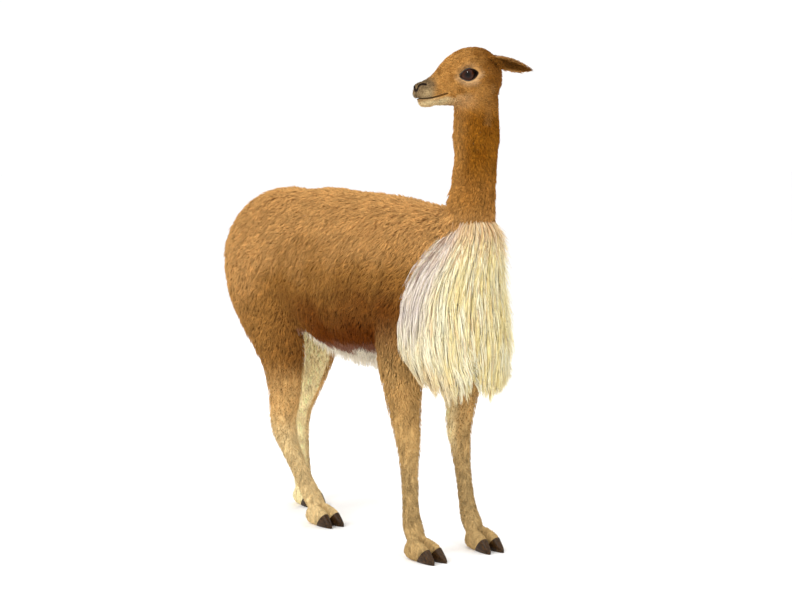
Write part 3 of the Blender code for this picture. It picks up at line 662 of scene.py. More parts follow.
def make_ear(side):
    """A pointed, cupped leaf: an outer curl, and an inner one set in by the wall."""
    wide = EAR_AXIS.cross(EAR_FRONT)
    last = len(EAR) - 1
    bm = new_ball(40, 48)
    for v, where, angle in ball_points(bm, last):
        share, half, curl, wall = along_rows(EAR, where)
        ends = min(where * 6.0, (last - where) * 6.0, 1.0)
        across = math.cos(angle)
        back = -curl * (1.0 - across * across)
        lift = wall * ends * max(math.sin(angle), 0.0) * (1.0 - 0.45 * across * across)
        v.co = EAR_AXIS * (EAR_LENGTH * share) + wide * (across * half * ends)
        v.co += EAR_FRONT * (back * ends + lift)
    bmesh.ops.translate(bm, vec=EAR_AT, verts=bm.verts)
    bmesh.ops.scale(bm, vec=(1.0, side, 1.0), verts=bm.verts)
    return closed(moved(bm, head_matrix()))


def almond(half_sizes, reach, middle):
    """A closed almond across l, pointed fore and aft, which opens the lids."""
    bm = new_ball(48, 16)
    for v in bm.verts:
        narrow = (1.0 - min(v.co.x * v.co.x, 1.0)) ** EYE_CORNERS
        v.co = Vector((v.co.x * half_sizes[0], v.co.z * reach, v.co.y * half_sizes[1] * narrow))
    return closed(moved(bm, head_matrix() @ Matrix.Translation(middle)))


def lay_on(skin, path):
    """The path's points moved to the nearest places on the skin, in the head's axes."""
    place = head_matrix()
    back = place.inverted()
    spots = [skin.closest_point_on_mesh(place @ Vector(point))[1] for point in path]
    return [tuple(back @ spot) for spot in spots]


def mirrored(path):
    return [(a, -l, v) for a, l, v in path]


def open_head(skin):
    """Joins the ears, then opens the lids, nostrils, the cleft of the lip and the mouth."""
    place = head_matrix()
    for name, path in (("mouth", MOUTH), ("nostril", NOSTRIL), ("cleft", CLEFT)):
        LINES[name] = lay_on(skin, path)
    for side in (1, -1):
        boolean(skin, make_ear(side), "UNION")
    for a, l, v in both_sides(EYE_AT):
        boolean(skin, ball((a, l, v), [EYE_RADIUS + EYE_PLAY] * 3, 48, 36, place), "DIFFERENCE")
        outside = Vector((a, l + math.copysign(OPENING_OUT, l), v))
        boolean(skin, almond(EYE_OPENING, OPENING_DEPTH, outside), "DIFFERENCE")
    mouth = LINES["mouth"]
    lips = mouth + mirrored(mouth)[-2::-1]
    boolean(skin, groove(lips, MOUTH_CUT, 96, (0, 0, 1), place), "DIFFERENCE")
    boolean(skin, groove(LINES["cleft"], CLEFT_CUT, 24, (0, 1, 0), place), "DIFFERENCE")
    for path in (LINES["nostril"], mirrored(LINES["nostril"])):
        side = math.copysign(1.0, path[0][1])
        slit = groove(path, NOSTRIL_CUT, 24, (0.3, -0.8 * side, 0.5), place)
        boolean(skin, slit, "DIFFERENCE")


# Markings and painted shade: every colour follows from the place on the body, so that skin and coat carry
# the same ones


def shade(red, green, blue):
    """A colour given as it shows, from 0 to 255, as linear light."""
    c = np.array((red, green, blue)) / 255.0
    return np.where(c <= 0.04045, c / 12.92, ((c + 0.055) / 1.055) ** 2.4)


TAN = shade(216, 164, 99)
# The next two colours are painted shade, down the flank and low on it.
BROWN = shade(172, 120, 56)
FLANK_SHADE = shade(108, 50, 0)
RUST = shade(156, 98, 24)
DEEP_RUST = shade(120, 68, 6)
PALE_NECK = shade(208, 152, 82)
HEAD_TAN = shade(198, 143, 74)
HEAD_DARK = shade(130, 76, 10)
LEG_TAN = shade(214, 170, 108)
FORELEG_TAN = shade(205, 162, 100)
LOW_LEG = shade(226, 197, 143)
LOW_FORELEG = shade(188, 156, 104)
LEG_CREAM = shade(255, 233, 180)
BIB_CREAM = shade(246, 230, 192)
BIB_WHITE = shade(255, 246, 212)
BIB_YELLOW = shade(255, 234, 164)
BIB_OCHRE = shade(226, 182, 116)
BIB_TAWNY = shade(240, 206, 144)
# Painted shade, lilac-white, for the bib's upper right side.
BIB_SHADE_LILAC = shade(238, 224, 216)
BIB_CREST = shade(150, 106, 84)
BIB_ROOTS = shade(214, 166, 116)
LASH_DARK = shade(30, 20, 16)
BELLY_WHITE = shade(240, 228, 206)
MAUVE = shade(156, 116, 98)
JAW_CREAM = shade(222, 202, 154)
JAW_TAN = shade(214, 168, 112)
MUZZLE_GREY = shade(112, 96, 72)
BULB = shade(206, 178, 130)
EYE_RING = shade(200, 162, 118)
BARE_DARK = shade(38, 27, 22)
EAR_BACK = shade(150, 102, 44)
# Painted shade inside the ear's cup, and painted light along its rim.
EAR_CUP_SHADE = shade(100, 60, 16)
EAR_EDGE_LIGHT = shade(206, 150, 84)
# How far from the slits' lines the bare skin begins to pale, and where it is whole.
BARE_LINES = {"mouth": (0.0028, 0.0016), "nostril": (0.0056, 0.0032), "cleft": (0.0026, 0.0012)}
# How far from the mouth and the nostrils the tufts keep.
MOUTH_CLEAR = 0.0044
NOSTRIL_CLEAR = 0.0060


def mix(base, other, share):
    return base + (other - base) * share[:, None]


def bib_angle(p):
    """Angle from straight ahead of each point about the bib's middle line, in degrees."""
    middle = np.interp(-p[:, 2], -DRAPE[:, 0], DRAPE[:, 1])
    return np.degrees(np.arctan2(np.abs(p[:, 1]), p[:, 0] - middle))


def under_bib(p):
    x, z = p[:, 0], p[:, 2]
    wide = look_up(BIB_EDGE, z) - 3
    return ramp(bib_angle(p), wide + 4, wide - 4) * ramp(z, 0.815, 0.785) * ramp(z, 0.40, 0.44) * (x > 0.2)


def path_distance(h, path):
    """Distance of head points from a path on either side of the head."""
    own = one_side(h)
    near = np.full(len(h), FAR)
    for start, end in zip(path, path[1:]):
        start, run = np.array(start), np.array(end) - np.array(start)
        t = np.clip((own - start) @ run / (run @ run), 0.0, 1.0)
        near = np.minimum(near, np.linalg.norm(own - start - t[:, None] * run, axis=1))
    return near


def on_ear(p):
    h = head_place(p)
    out = (one_side(h) - np.array(EAR_AT)) @ np.array(EAR_AXIS)
    return ramp(out, 0.020, 0.028) * ramp(np.abs(h[:, 1]), 0.050, 0.056) * (p[:, 2] > 1.05)


def ear_breadth(h):
    """How far head points lie across the ear, from 0 at its middle line to 1 at its rim."""
    own = one_side(h) - np.array(EAR_AT)
    half = look_up(EAR, own @ np.array(EAR_AXIS) / EAR_LENGTH)
    return np.abs(own @ np.array(EAR_AXIS.cross(EAR_FRONT))) / half


def neck_level(x, z):
    """Height over the slanting line along which the neck rises from the trunk."""
    return z + 0.30 * (x - 0.30)


def belly_line(x):
    return look_up(BELLY, x)


def markings(p, n):
    """Linear colour of each body point p with surface normal n."""
    x, y, z = p.T
    patch = wobble(p, 0.055, 3)
    fine = streaks(p, 0.0050, 4)
    colour = np.broadcast_to(TAN, (len(p), 3)).copy()
    # trunk: tan along the back and over the rump, then painted shade that browns the flank downwards and is
    # darkest low on it
    rump = ramp(x, -0.20, -0.44)
    low = z + 0.02 * patch - 0.045 * ramp(x, 0.0, 0.24) * ramp(z, 0.76, 0.64)
    colour = mix(colour, BROWN, ramp(low + 0.13 * rump, 0.80, 0.64) * (0.95 - 0.25 * rump))
    flank = ramp(low, 0.71, 0.50) * ramp(x, -0.32, -0.12) * ramp(x, 0.36, 0.26)
    colour = mix(colour, FLANK_SHADE, 0.95 * flank)
    # neck: browner, paler at the sides and the back, and darker along its front edge, which is painted shade
    neck = ramp(neck_level(x, z), 0.84, 0.93) * ramp(x, 0.18, 0.27)
    colour = mix(colour, RUST, neck)
    colour = mix(colour, DEEP_RUST, neck * ramp(patch + 0.5 * fine, 0.0, 1.0) * 0.5)
    colour = mix(colour, PALE_NECK, neck * ramp(n[:, 0], 0.75, -0.40) * 0.9)
    colour = mix(colour, PALE_NECK, neck * ramp(z, 0.98, 0.87) * 0.4)
    head = ramp(z, HEAD_LOW, HEAD_LOW + 0.05)
    colour = mix(colour, HEAD_TAN, head)
    # legs: paler downwards, cream on the inner side, and a little painted shade on the forelegs' fronts
    # under the bib
    fore = x > FORE_HALF
    top = ramp(x, 0.15, 0.24)
    leg = np.where(fore, ramp(z, 0.50 + 0.12 * top, 0.40 + 0.04 * top), ramp(z, 0.45, 0.34))
    colour = mix(colour, np.where(fore[:, None], FORELEG_TAN, LEG_TAN), leg)
    low_leg = ramp(z, np.where(fore, 0.42, 0.32), np.where(fore, 0.14, 0.20))
    colour = mix(colour, np.where(fore[:, None], LOW_FORELEG, LOW_LEG), low_leg)
    front_shade = ramp(n[:, 0], 0.1, 0.8) * ramp(z, 0.24, 0.42) * leg * (x > 0.1)
    colour = mix(colour, DEEP_RUST, 0.08 * front_shade)
    inner = np.sign(y) * (0.6 * np.maximum(n[:, 0], 0.0) - n[:, 1])
    inner = ramp(inner, 0.25, 0.75) * ramp(z, 0.66, 0.56)
    rear = ramp(n[:, 0], 0.75, 0.05) * ramp(z, 0.21, 0.29)
    colour = mix(colour, LEG_CREAM, inner * np.where(fore, 0.05 + 0.70 * rear, 0.96))
    # belly: a white underside with a mauve edge, between the legs
    line = z - belly_line(x) + 0.006 * patch
    high = np.interp(x, [-0.26, -0.10, 0.14], [0.004, 0.026, 0.044])
    inside = ramp(x, -0.30, -0.24) * ramp(x, 0.30, 0.25) * (z > 0.42) * ~outer_leg(p)
    colour = mix(colour, MAUVE, inside * ramp(line, high + 0.030, high + 0.012) * 0.6)
    colour = mix(colour, BELLY_WHITE, inside * ramp(line, high + 0.012, high))
    colour = mix(colour, BIB_CREAM, under_bib(p))
    colour = head_markings(p, n, colour, head)
    mottle = 0.05 * wobble(p, 0.026, 6) + 0.16 * fine * (z < HEAD_LOW)
    return colour * (1.0 + mottle * (1 - under_bib(p)))[:, None]


def outer_leg(p):
    """Where the legs' outer sides stand before the belly: no white there."""
    x, y = p[:, 0], p[:, 1]
    fore = (x > 0.165) & (np.abs(y) > 0.055)
    hind = (x < -0.225) & (np.abs(y) > 0.070)
    return fore | hind


def head_markings(p, n, colour, head):
    h = head_place(p)
    a, v = h[:, 0], h[:, 2]
    fine = wobble(p, 0.018, 8)
    jaw = ramp(v + 0.004 * fine, -0.027, -0.040) * ramp(a, 0.000, 0.035) * ramp(v, -0.076, -0.062)
    muzzle = ramp(a + 0.004 * fine + 0.3 * v, 0.084, 0.114) * ramp(v, -0.036, -0.026)
    bulb = np.exp(-(((a - 0.120) / 0.014) ** 2 + ((v + 0.016) / 0.010) ** 2))
    ring = ramp(eye_distance(p), 1.75, 1.25) * (0.35 + 0.65 * ramp(v, EYE_AT[2] + 0.006, EYE_AT[2] - 0.008))
    ear = on_ear(p)
    opens = np.array(head_matrix().to_3x3() @ EAR_OPENS.normalized())
    bare = ramp(eye_distance(p), 1.10, 0.98)
    for name, (start, end) in BARE_LINES.items():
        bare = np.maximum(bare, ramp(path_distance(h, LINES[name]), start, end))
    layers = (
        (HEAD_DARK, head * ramp(a + 0.012 * fine, 0.016, -0.046) * 0.82),
        (HEAD_DARK, head * ramp(fine, 0.3, 1.2) * 0.45),
        (JAW_TAN, head * jaw * 0.8),
        (JAW_CREAM, head * jaw * ramp(a, 0.040, 0.090)),
        (MUZZLE_GREY, head * muzzle * 0.9),
        (BULB, head * bulb * 0.8),
        (EYE_RING, head * ring * 0.7),
        (EAR_BACK, ear),
        # the ear: painted shade inside its cup and painted light along its rim
        (EAR_CUP_SHADE, ear * ramp(n @ opens + 0.3 * fine, -0.2, 0.4) * 0.85),
        (EAR_EDGE_LIGHT, ear * ramp(ear_breadth(h) + 0.05 * fine, 0.72, 0.98) * 0.8),
        (BARE_DARK, bare * (head > 0.5)),
    )
    for tone, share in layers:
        colour = mix(colour, tone, share)
    return colour


def add_colour(mesh, colours):
    layer = mesh.color_attributes.new("coat", "FLOAT_COLOR", "POINT")
    rgba = np.ones((len(colours), 4), np.float32)
    rgba[:, :3] = np.clip(colours, 0.0, 1.0)
    layer.data.foreach_set("color", rgba.ravel())


# Lie of the coat


def lie_of(p, n):
    """Unit directions in which the hair lies, along the surface."""
    x, z = p[:, 0], p[:, 2]
    h = head_place(p)
    one = np.ones(len(p))
    side = np.sign(h[:, 1])
    back = np.column_stack((-one, 0.10 * side, -0.30 * ramp(h[:, 2], 0.03, -0.02)))
    ear = np.column_stack((EAR_AXIS.x * one, EAR_AXIS.y * side, EAR_AXIS.z * one))
    ways = {
        "trunk": ((-0.42, 0.0, -0.90), one),
        "rump": ((-0.15, 0.0, -1.0), ramp(x, -0.42, -0.58)),
        "neck": ((-0.12, 0.0, -1.0), ramp(neck_level(x, z), 0.80, 0.88) * ramp(x, 0.16, 0.25)),
        "leg": ((-0.10, 0.0, -1.0), ramp(z, 0.60, 0.48)),
        "head": (to_body(back), ramp(z, 1.05, 1.10)),
        "ear": (to_body(ear), on_ear(p)),
        "foot": ((0.7, 0.0, -0.7), ramp(z, 0.08, 0.05)),
    }
    lie = np.zeros((len(p), 3))
    for way, share in ways.values():
        lie += (np.array(way) - lie) * share[:, None]
    turn = 0.30 * wobble(p, 0.07, 21) + 0.16 * wobble(p, 0.022, 22)
    lie = lie - n * np.sum(lie * n, 1)[:, None]
    lie /= np.maximum(np.linalg.norm(lie, axis=1), 1e-6)[:, None]
    across = np.cross(n, lie)
    return lie * np.cos(turn)[:, None] + across * np.sin(turn)[:, None]


# Tufts


def build_mesh(name, points, faces, uv, colours):
    """A mesh from arrays: points, faces of three or four corners, a place on OFBake for each point."""
    points[:, 2] = np.maximum(points[:, 2], LOWEST)
    mesh = bpy.data.meshes.new(name)
    mesh.vertices.add(len(points))
    mesh.vertices.foreach_set("co", points.astype(np.float32).ravel())
    corners = np.concatenate([f.ravel() for f in faces])
    sizes = np.concatenate([np.full(len(f), f.shape[1]) for f in faces])
    mesh.loops.add(len(corners))
    mesh.loops.foreach_set("vertex_index", corners.astype(np.int32))
    mesh.polygons.add(len(sizes))
    starts = np.concatenate(([0], np.cumsum(sizes)[:-1]))
    mesh.polygons.foreach_set("loop_start", starts.astype(np.int32))
    mesh.update(calc_edges=True)
    layer = mesh.uv_layers.new(name="OFBake")
    layer.data.foreach_set("uv", uv[corners].astype(np.float32).ravel())
    add_colour(mesh, colours)
    mesh.shade_smooth()
    return link_new(name, mesh)


UV_PATCH = 0.003
TUFTS_IN_LOCK = 14
ROOT_DEPTH = 0.0012
LONG_TUFT = 0.021
FACE_TUFT = 0.0040
EAR_TUFT = 0.0085
TUFT_WIDTH = 0.0026
# Where the tufts get shorter: their length, and the heights from and to which it changes.
TUFT_STEPS = ((0.017, 0.86, 0.95), (0.0105, 0.48, 0.28), (0.0062, 0.12, 0.06), (0.0090, 1.04, 1.09))


def blades(name, spine, side, up, widths, thick, uv_root, colours, root_to_tip_shading=(0.80, 1.12)):
    """Closed three-sided blades, pointed at both ends. spine is (blade, place, 3), side and up have
    the same shape, and widths is (blade, place) for the places between the root and the tip."""
    many, places = spine.shape[:2]
    rings = places - 2
    half = widths[:, :, None] / 2
    left = spine[:, 1:-1] + side[:, 1:-1] * half
    right = spine[:, 1:-1] - side[:, 1:-1] * half
    ridge = spine[:, 1:-1] + up[:, 1:-1] * (widths * thick)[:, :, None]
    body = np.stack((left, right, ridge), 2).reshape(many, rings * 3, 3)
    points = np.concatenate((spine[:, :1], body, spine[:, -1:]), 1)
    tip = rings * 3 + 1
    round_it = [(i, (i + 1) % 3) for i in range(3)]
    three = [(0, 1 + j, 1 + i) for i, j in round_it]
    three += [(tip - 3 + i, tip - 3 + j, tip) for i, j in round_it]
    four = [
        (1 + 3 * r + i, 1 + 3 * r + j, 4 + 3 * r + j, 4 + 3 * r + i)
        for r in range(rings - 1)
        for i, j in round_it
    ]
    start = (np.arange(many) * (tip + 1))[:, None, None]
    faces = [(np.array(kind)[None] + start).reshape(-1, len(kind[0])) for kind in (three, four) if kind]
    share = np.linspace(0, 1, places)
    along = np.concatenate(([0.0], np.repeat(share[1:-1], 3), [1.0]))
    across = np.concatenate(([0.0], np.tile([1.0, -1.0, 0.0], rings), [0.0]))
    patch = np.column_stack((across * 0.5, along - 0.5)) * UV_PATCH
    uv = (uv_root[:, None, :] + patch[None]).reshape(-1, 2)
    # Painted shade darkens each blade towards its root, deep in the coat, and painted light brightens its
    # tip.
    low, high = root_to_tip_shading
    light = (low + (high - low) * along)[None, :, None]
    painted = (colours[:, None, :] * light).reshape(-1, 3)
    return build_mesh(name, points.reshape(-1, 3), faces, uv, painted)


class Ground:
    """The finished skin as arrays from which hair is seeded."""

    def __init__(self, skin):
        mesh = skin.data
        mesh.calc_loop_triangles()
        self.points = points_of(mesh)
        self.normals = normals_of(mesh)
        self.triangles = rows_of(mesh.loop_triangles, "vertices", 3, np.int32)
        loops = rows_of(mesh.loop_triangles, "loops", 3, np.int32)
        self.uv = rows_of(mesh.uv_layers["OFBake"].data, "uv", 2)[loops]
        a, b, c = (self.points[self.triangles[:, k]] for k in range(3))
        self.middle = (a + b + c) / 3
        self.area = np.linalg.norm(np.cross(b - a, c - a), axis=1) / 2
        self.tree = BVHTree.FromPolygons(self.points.tolist(), self.triangles.tolist())

    def nearest(self, spots):
        """The nearest place on the skin to each spot: point, normal and place on OFBake."""
        found = [self.tree.find_nearest(spot) for spot in spots.tolist()]
        pick = np.array([f[2] for f in found])
        points, normals = (np.array([f[k] for f in found], float) for k in (0, 1))
        return points, normals, self.uv[pick].mean(1)

    def seed(self, weight, many, number):
        """Roots spread over the skin by weight: points, normals and places on OFBake."""
        draw = np.random.default_rng(number)
        share = np.cumsum(self.area * weight)
        pick = np.searchsorted(share, draw.uniform(0, share[-1], many))
        r1, r2 = np.sqrt(draw.uniform(0, 1, many)), draw.uniform(0, 1, many)
        w = np.column_stack((1 - r1, r1 * (1 - r2), r1 * r2))[:, :, None]
        tri = self.triangles[pick]
        p = np.sum(self.points[tri] * w, 1)
        n = np.sum(self.normals[tri] * w, 1)
        n /= np.linalg.norm(n, axis=1)[:, None]
        return p, n, np.sum(self.uv[pick] * w, 1)


def coat_sizes(p):
    """Length, width and rise of the tufts that root at body points."""
    z = p[:, 2]
    length = LONG_TUFT + 0.004 * ramp(z, 0.60, 0.52) * ramp(z, 0.42, 0.48)
    length = stepped(length, z, TUFT_STEPS)
    face = ramp(head_place(p)[:, 0], 0.02, 0.10) * (z > HEAD_LOW)
    for own, share in ((FACE_TUFT, face), (EAR_TUFT, on_ear(p))):
        length = length + (own - length) * share
    width = TUFT_WIDTH * (length / LONG_TUFT) ** 0.85
    rise = (coat_depth(p) * 1.1 + 0.0005) * (1.0 - 0.25 * ramp(z, 0.48, 0.36))
    return length, width, rise


def nearest_of(points, others):
    """For each point, the index of the nearest of the others."""
    tree = KDTree(len(others))
    for i, spot in enumerate(others):
        tree.insert(spot, i)
    tree.balance()
    return np.array([tree.find(point)[1] for point in points])


def grow(name, ground, weight, many, number, slot, finish):
    """A patch of short coat: thin tufts that overlap, lie along the body and draw into small locks."""
    p, n, uv = ground.seed(weight, many, number)
    draw = np.random.default_rng(number + 1000)
    lie = lie_of(p, n)
    length, width, rise = coat_sizes(p)
    middles = ground.seed(weight, max(many // TUFTS_IN_LOCK, 2), number + 500)[0]
    lock = nearest_of(p + lie * (0.7 * length)[:, None], middles)
    of_lock = draw.normal(size=(len(middles), 3))[lock]
    pull = middles[lock] - p - lie * (0.7 * length)[:, None]
    across = np.cross(n, lie)
    aside = np.clip(np.sum(pull * across, 1) * 0.5, -0.35 * length, 0.35 * length)
    length = length * draw.uniform(0.75, 1.3, many) * (1.0 + 0.10 * of_lock[:, 0])
    width = width * draw.uniform(0.75, 1.25, many)
    rise = rise * draw.uniform(0.6, 1.15, many) * (1.0 + 0.16 * of_lock[:, 1])
    lean = draw.normal(0, 0.13, many)
    lie = lie * np.cos(lean)[:, None] + across * np.sin(lean)[:, None]
    across = np.cross(n, lie)
    t = np.array((0.0, 0.42, 1.0))
    shape = 1.0 - (1.0 - t) ** 2
    spine = p[:, None] + lie[:, None] * (length[:, None] * t)[:, :, None]
    spine += n[:, None] * (rise[:, None] * shape - ROOT_DEPTH * (t == 0))[:, :, None]
    spine += across[:, None] * (aside[:, None] * t**1.5)[:, :, None]
    side = np.repeat(across[:, None], 3, 1)
    up = np.repeat(n[:, None], 3, 1)
    tone = 1.0 + 0.07 * draw.normal(size=many) + 0.06 * of_lock[:, 2]
    colours = markings(p, n) * tone[:, None]
    # painted shade at the roots and painted light at the tips, milder on the legs
    root_to_tip_shading = (0.92, 1.08) if slot == "leg_coat" else (0.80, 1.12)
    obj = blades(name, spine, side, up, width[:, None], 0.30, uv, colours, root_to_tip_shading)
    return dress(obj, finish)


def dress(obj, finish):
    """Moves a finished piece into the frame, and gives it its material and its place there."""
    obj.data.transform(Matrix.Translation(TO_FRAME))
    obj.data.materials.clear()
    obj.data.materials.append(finish)
    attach(obj, "root")
    return obj


# Long hair


# Least and greatest length and width of the hair at the bib's top and under the belly.
CROWN_SIZES = (0.022, 0.042, 0.0016, 0.0030)
FRINGE_SIZES = (0.026, 0.050, 0.0015, 0.0028)
FRINGE_PLACES = 5


def drape_points(angle, height, lift):
    """Points on the bib's surface: angle from straight ahead, height, and lift off it. The hair
    swings a little towards the side to which the head is turned."""
    middle, forward, half = (np.interp(-height, -DRAPE[:, 0], DRAPE[:, k]) for k in (1, 2, 3))
    swing = BIB_SWING * ramp(height, 0.80, 0.60)
    x = middle + (forward + lift) * np.cos(angle) - 0.5 * swing
    return np.stack((x, (half + lift) * np.sin(angle) - swing, height), -1)


def frames_along(spine, out):
    """Side and up of each point of a strand that lies on a surface whose outward way is out."""
    run = np.gradient(spine, axis=1)
    run /= np.maximum(np.linalg.norm(run, axis=2), 1e-9)[:, :, None]
    side = np.cross(out, run)
    side /= np.maximum(np.linalg.norm(side, axis=2), 1e-9)[:, :, None]
    return side, np.cross(run, side)


def of_locks(key, number, locks, values):
    """Random values that all the strands of one lock share."""
    return np.random.default_rng(number).normal(size=(locks, values))[key.astype(int) % locks]


def tapered(widest, t, start, run, power):
    """Widths of strands at the places t between their roots and tips, widest near the middle."""
    return widest[:, None] * (np.sin(math.pi * (start + run * t[1:-1])) ** power)[None]


def clear_of_skin(ground, spine, lifts):
    """Moves the places of strands that lie too deep out to their lift over the skin."""
    many, places = spine.shape[:2]
    points, normals, uv = ground.nearest(spine.reshape(-1, 3))
    over = np.sum((spine.reshape(-1, 3) - points) * normals, 1)
    short = np.maximum(lifts.ravel() - over, 0.0) * (np.abs(over) < 0.06)
    raised = spine.reshape(-1, 3) + normals * short[:, None]
    return raised.reshape(many, places, 3), uv.reshape(many, places, 2)[:, 0]


def bib_locks(name, ground, many, number, finish):
    """Long pale hair of the chest: fine tapered strands that draw together into locks."""
    draw = np.random.default_rng(number)
    height = BIB_TOP - (BIB_TOP - BIB_LOW) * draw.beta(1.10, 0.95, many)
    crown = draw.uniform(0, 1, many) < CROWN_SHARE
    height = np.where(crown, draw.uniform(0.740, BIB_TOP + 0.006, many), height)
    angle = np.radians(look_up(BIB_EDGE, height)) * draw.uniform(-1, 1, many)
    # strands of one lock share its sway, so that their tips gather
    step = np.radians(LOCK_ANGLE)
    key = np.round(angle / step) + 90 * np.round(height / LOCK_HEIGHT)
    lock = of_locks(key, 5, 4000, 5)
    gather = np.round(angle / step) * step + 0.25 * step * lock[:, 0] - angle
    edge = np.abs(np.round(angle / step) * step - angle) / step
    sway = 0.040 * lock[:, 1] - 0.05 * angle + draw.normal(0, 0.022, many)
    hem = look_up(HEM, np.degrees(angle + sway)) + 0.010 * lock[:, 2] - 0.006 + 0.050 * edge
    length = np.interp(height, [0.46, 0.60, 0.80], [0.095, 0.120, 0.095]) * draw.uniform(0.7, 1.25, many)
    length = length * np.where(crown, 0.5, 1.0)
    length = np.minimum(length, np.maximum(height - hem + draw.uniform(-0.012, 0.008, many), 0.018))
    t = np.linspace(0, 1, BIB_PLACES)[None]
    turn = angle[:, None] + sway[:, None] * t**2 + 0.7 * gather[:, None] * t**1.4
    turn += (0.016 * lock[:, 3])[:, None] * np.sin(t * math.pi * 2.0)
    down = height[:, None] - length[:, None] * t
    layer = draw.uniform(0, 1, many) ** 1.3
    rise = np.sin(np.minimum(t * 1.3, 1.0) * math.pi / 2) ** 0.8
    outer = 0.001 + 0.003 * layer + 0.0011 * lock[:, 4]
    lift = -0.020 + (0.020 + outer[:, None]) * rise - 0.006 * (1 - layer[:, None])
    # tips at the hem and wisps on the left side of the chest curl outwards
    near_hem = ramp(height - length - hem, 0.03, 0.0)
    curl = 0.011 * near_hem * np.maximum(lock[:, 2], 0.0)
    some = draw.uniform(0, 1, many) < WISP_SHARE
    wisp = ramp(angle, 0.15, 0.8) * some * draw.uniform(0.3, 1.0, many)
    lift += np.maximum(curl, 0.021 * wisp)[:, None] * t**2.4
    spine = drape_points(turn, down, lift)
    spine, where = clear_of_skin(ground, spine, -0.002 + (0.0045 + outer[:, None]) * rise)
    out = np.stack((np.cos(turn), np.sin(turn), np.zeros_like(turn)), -1)
    side, up = frames_along(spine, out)
    widths = tapered(draw.uniform(0.0012, 0.0026, many), t[0], 0.16, 0.76, 0.7)
    colours = bib_colours(height, angle, lock, draw)
    obj = blades(name, spine, side, up, widths, 0.30, where, colours, (0.97, 1.03))
    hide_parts("chest_bib")
    dress(obj, finish)


def bib_colours(height, angle, lock, draw):
    """Cream and yellow-white strands, painted lilac-white shade at the upper right side, ochre here and
    there.
    """
    many = len(height)
    colour = np.broadcast_to(BIB_WHITE, (many, 3)).copy()
    yellow = np.clip(0.5 + 0.4 * lock[:, 3] + draw.normal(0, 0.25, many), 0, 1) * ramp(angle, -1.7, -0.4)
    colour = mix(colour, BIB_YELLOW, yellow)
    colour = mix(colour, BIB_OCHRE, (draw.uniform(0, 1, many) > 0.92) * 0.55)
    colour = mix(colour, BIB_TAWNY, ramp(height, 0.60, 0.46) * ramp(angle, -0.4, -1.2) * 0.6)
    # painted shade: lilac-white over the upper right side of the bib
    lilac_shade = ramp(angle, -0.85, -1.35) * ramp(height, 0.56, 0.68)
    colour = mix(colour, BIB_SHADE_LILAC, np.clip(lilac_shade * draw.uniform(0.4, 1.1, many), 0, 1))
    brown = lock[:, 1] + draw.normal(0, 0.4, many) > 0.0
    crest = ramp(angle, -1.2, -1.6) * ramp(height, 0.735, 0.765) * brown
    colour = mix(colour, BIB_CREST, crest * 0.7)
    colour = mix(colour, BIB_ROOTS, ramp(height, 0.778, BIB_TOP) * draw.uniform(0.2, 0.9, many))
    return colour * draw.uniform(0.96, 1.04, many)[:, None]


def hanging_locks(name, ground, weight, many, number, finish, sizes, colour, out=0.35):
    """Longer pale strands that hang from the skin, as under the belly, of these sizes."""
    p, n, uv = ground.seed(weight, many, number)
    draw = np.random.default_rng(number + 1)
    length = draw.uniform(*sizes[:2], many)
    t = np.linspace(0, 1, FRINGE_PLACES)[None, :, None]
    lie = lie_of(p, n)
    fall = np.array((0.0, 0.0, -1.0)) + 0.10 * draw.normal(size=(many, 3))
    start = n * out + lie * 0.6
    way = start[:, None] * (1 - t) + fall[:, None] * t
    way /= np.linalg.norm(way, axis=2)[:, :, None]
    run = (length / (FRINGE_PLACES - 1))[:, None, None]
    step = np.concatenate((np.zeros((many, 1, 3)), way[:, :-1]), 1) * run
    spine = (p - n * 0.002)[:, None] + np.cumsum(step, 1)
    side, up = frames_along(spine, np.repeat(n[:, None], FRINGE_PLACES, 1))
    widths = tapered(draw.uniform(*sizes[2:], many), t[0, :, 0], 0.15, 0.75, 0.8)
    painted = markings(p, n) if colour is None else np.broadcast_to(colour, (many, 3))
    painted = painted * draw.uniform(0.88, 1.08, many)[:, None]
    obj = blades(name, spine, side, up, widths, 0.34, uv, painted)
    dress(obj, finish)


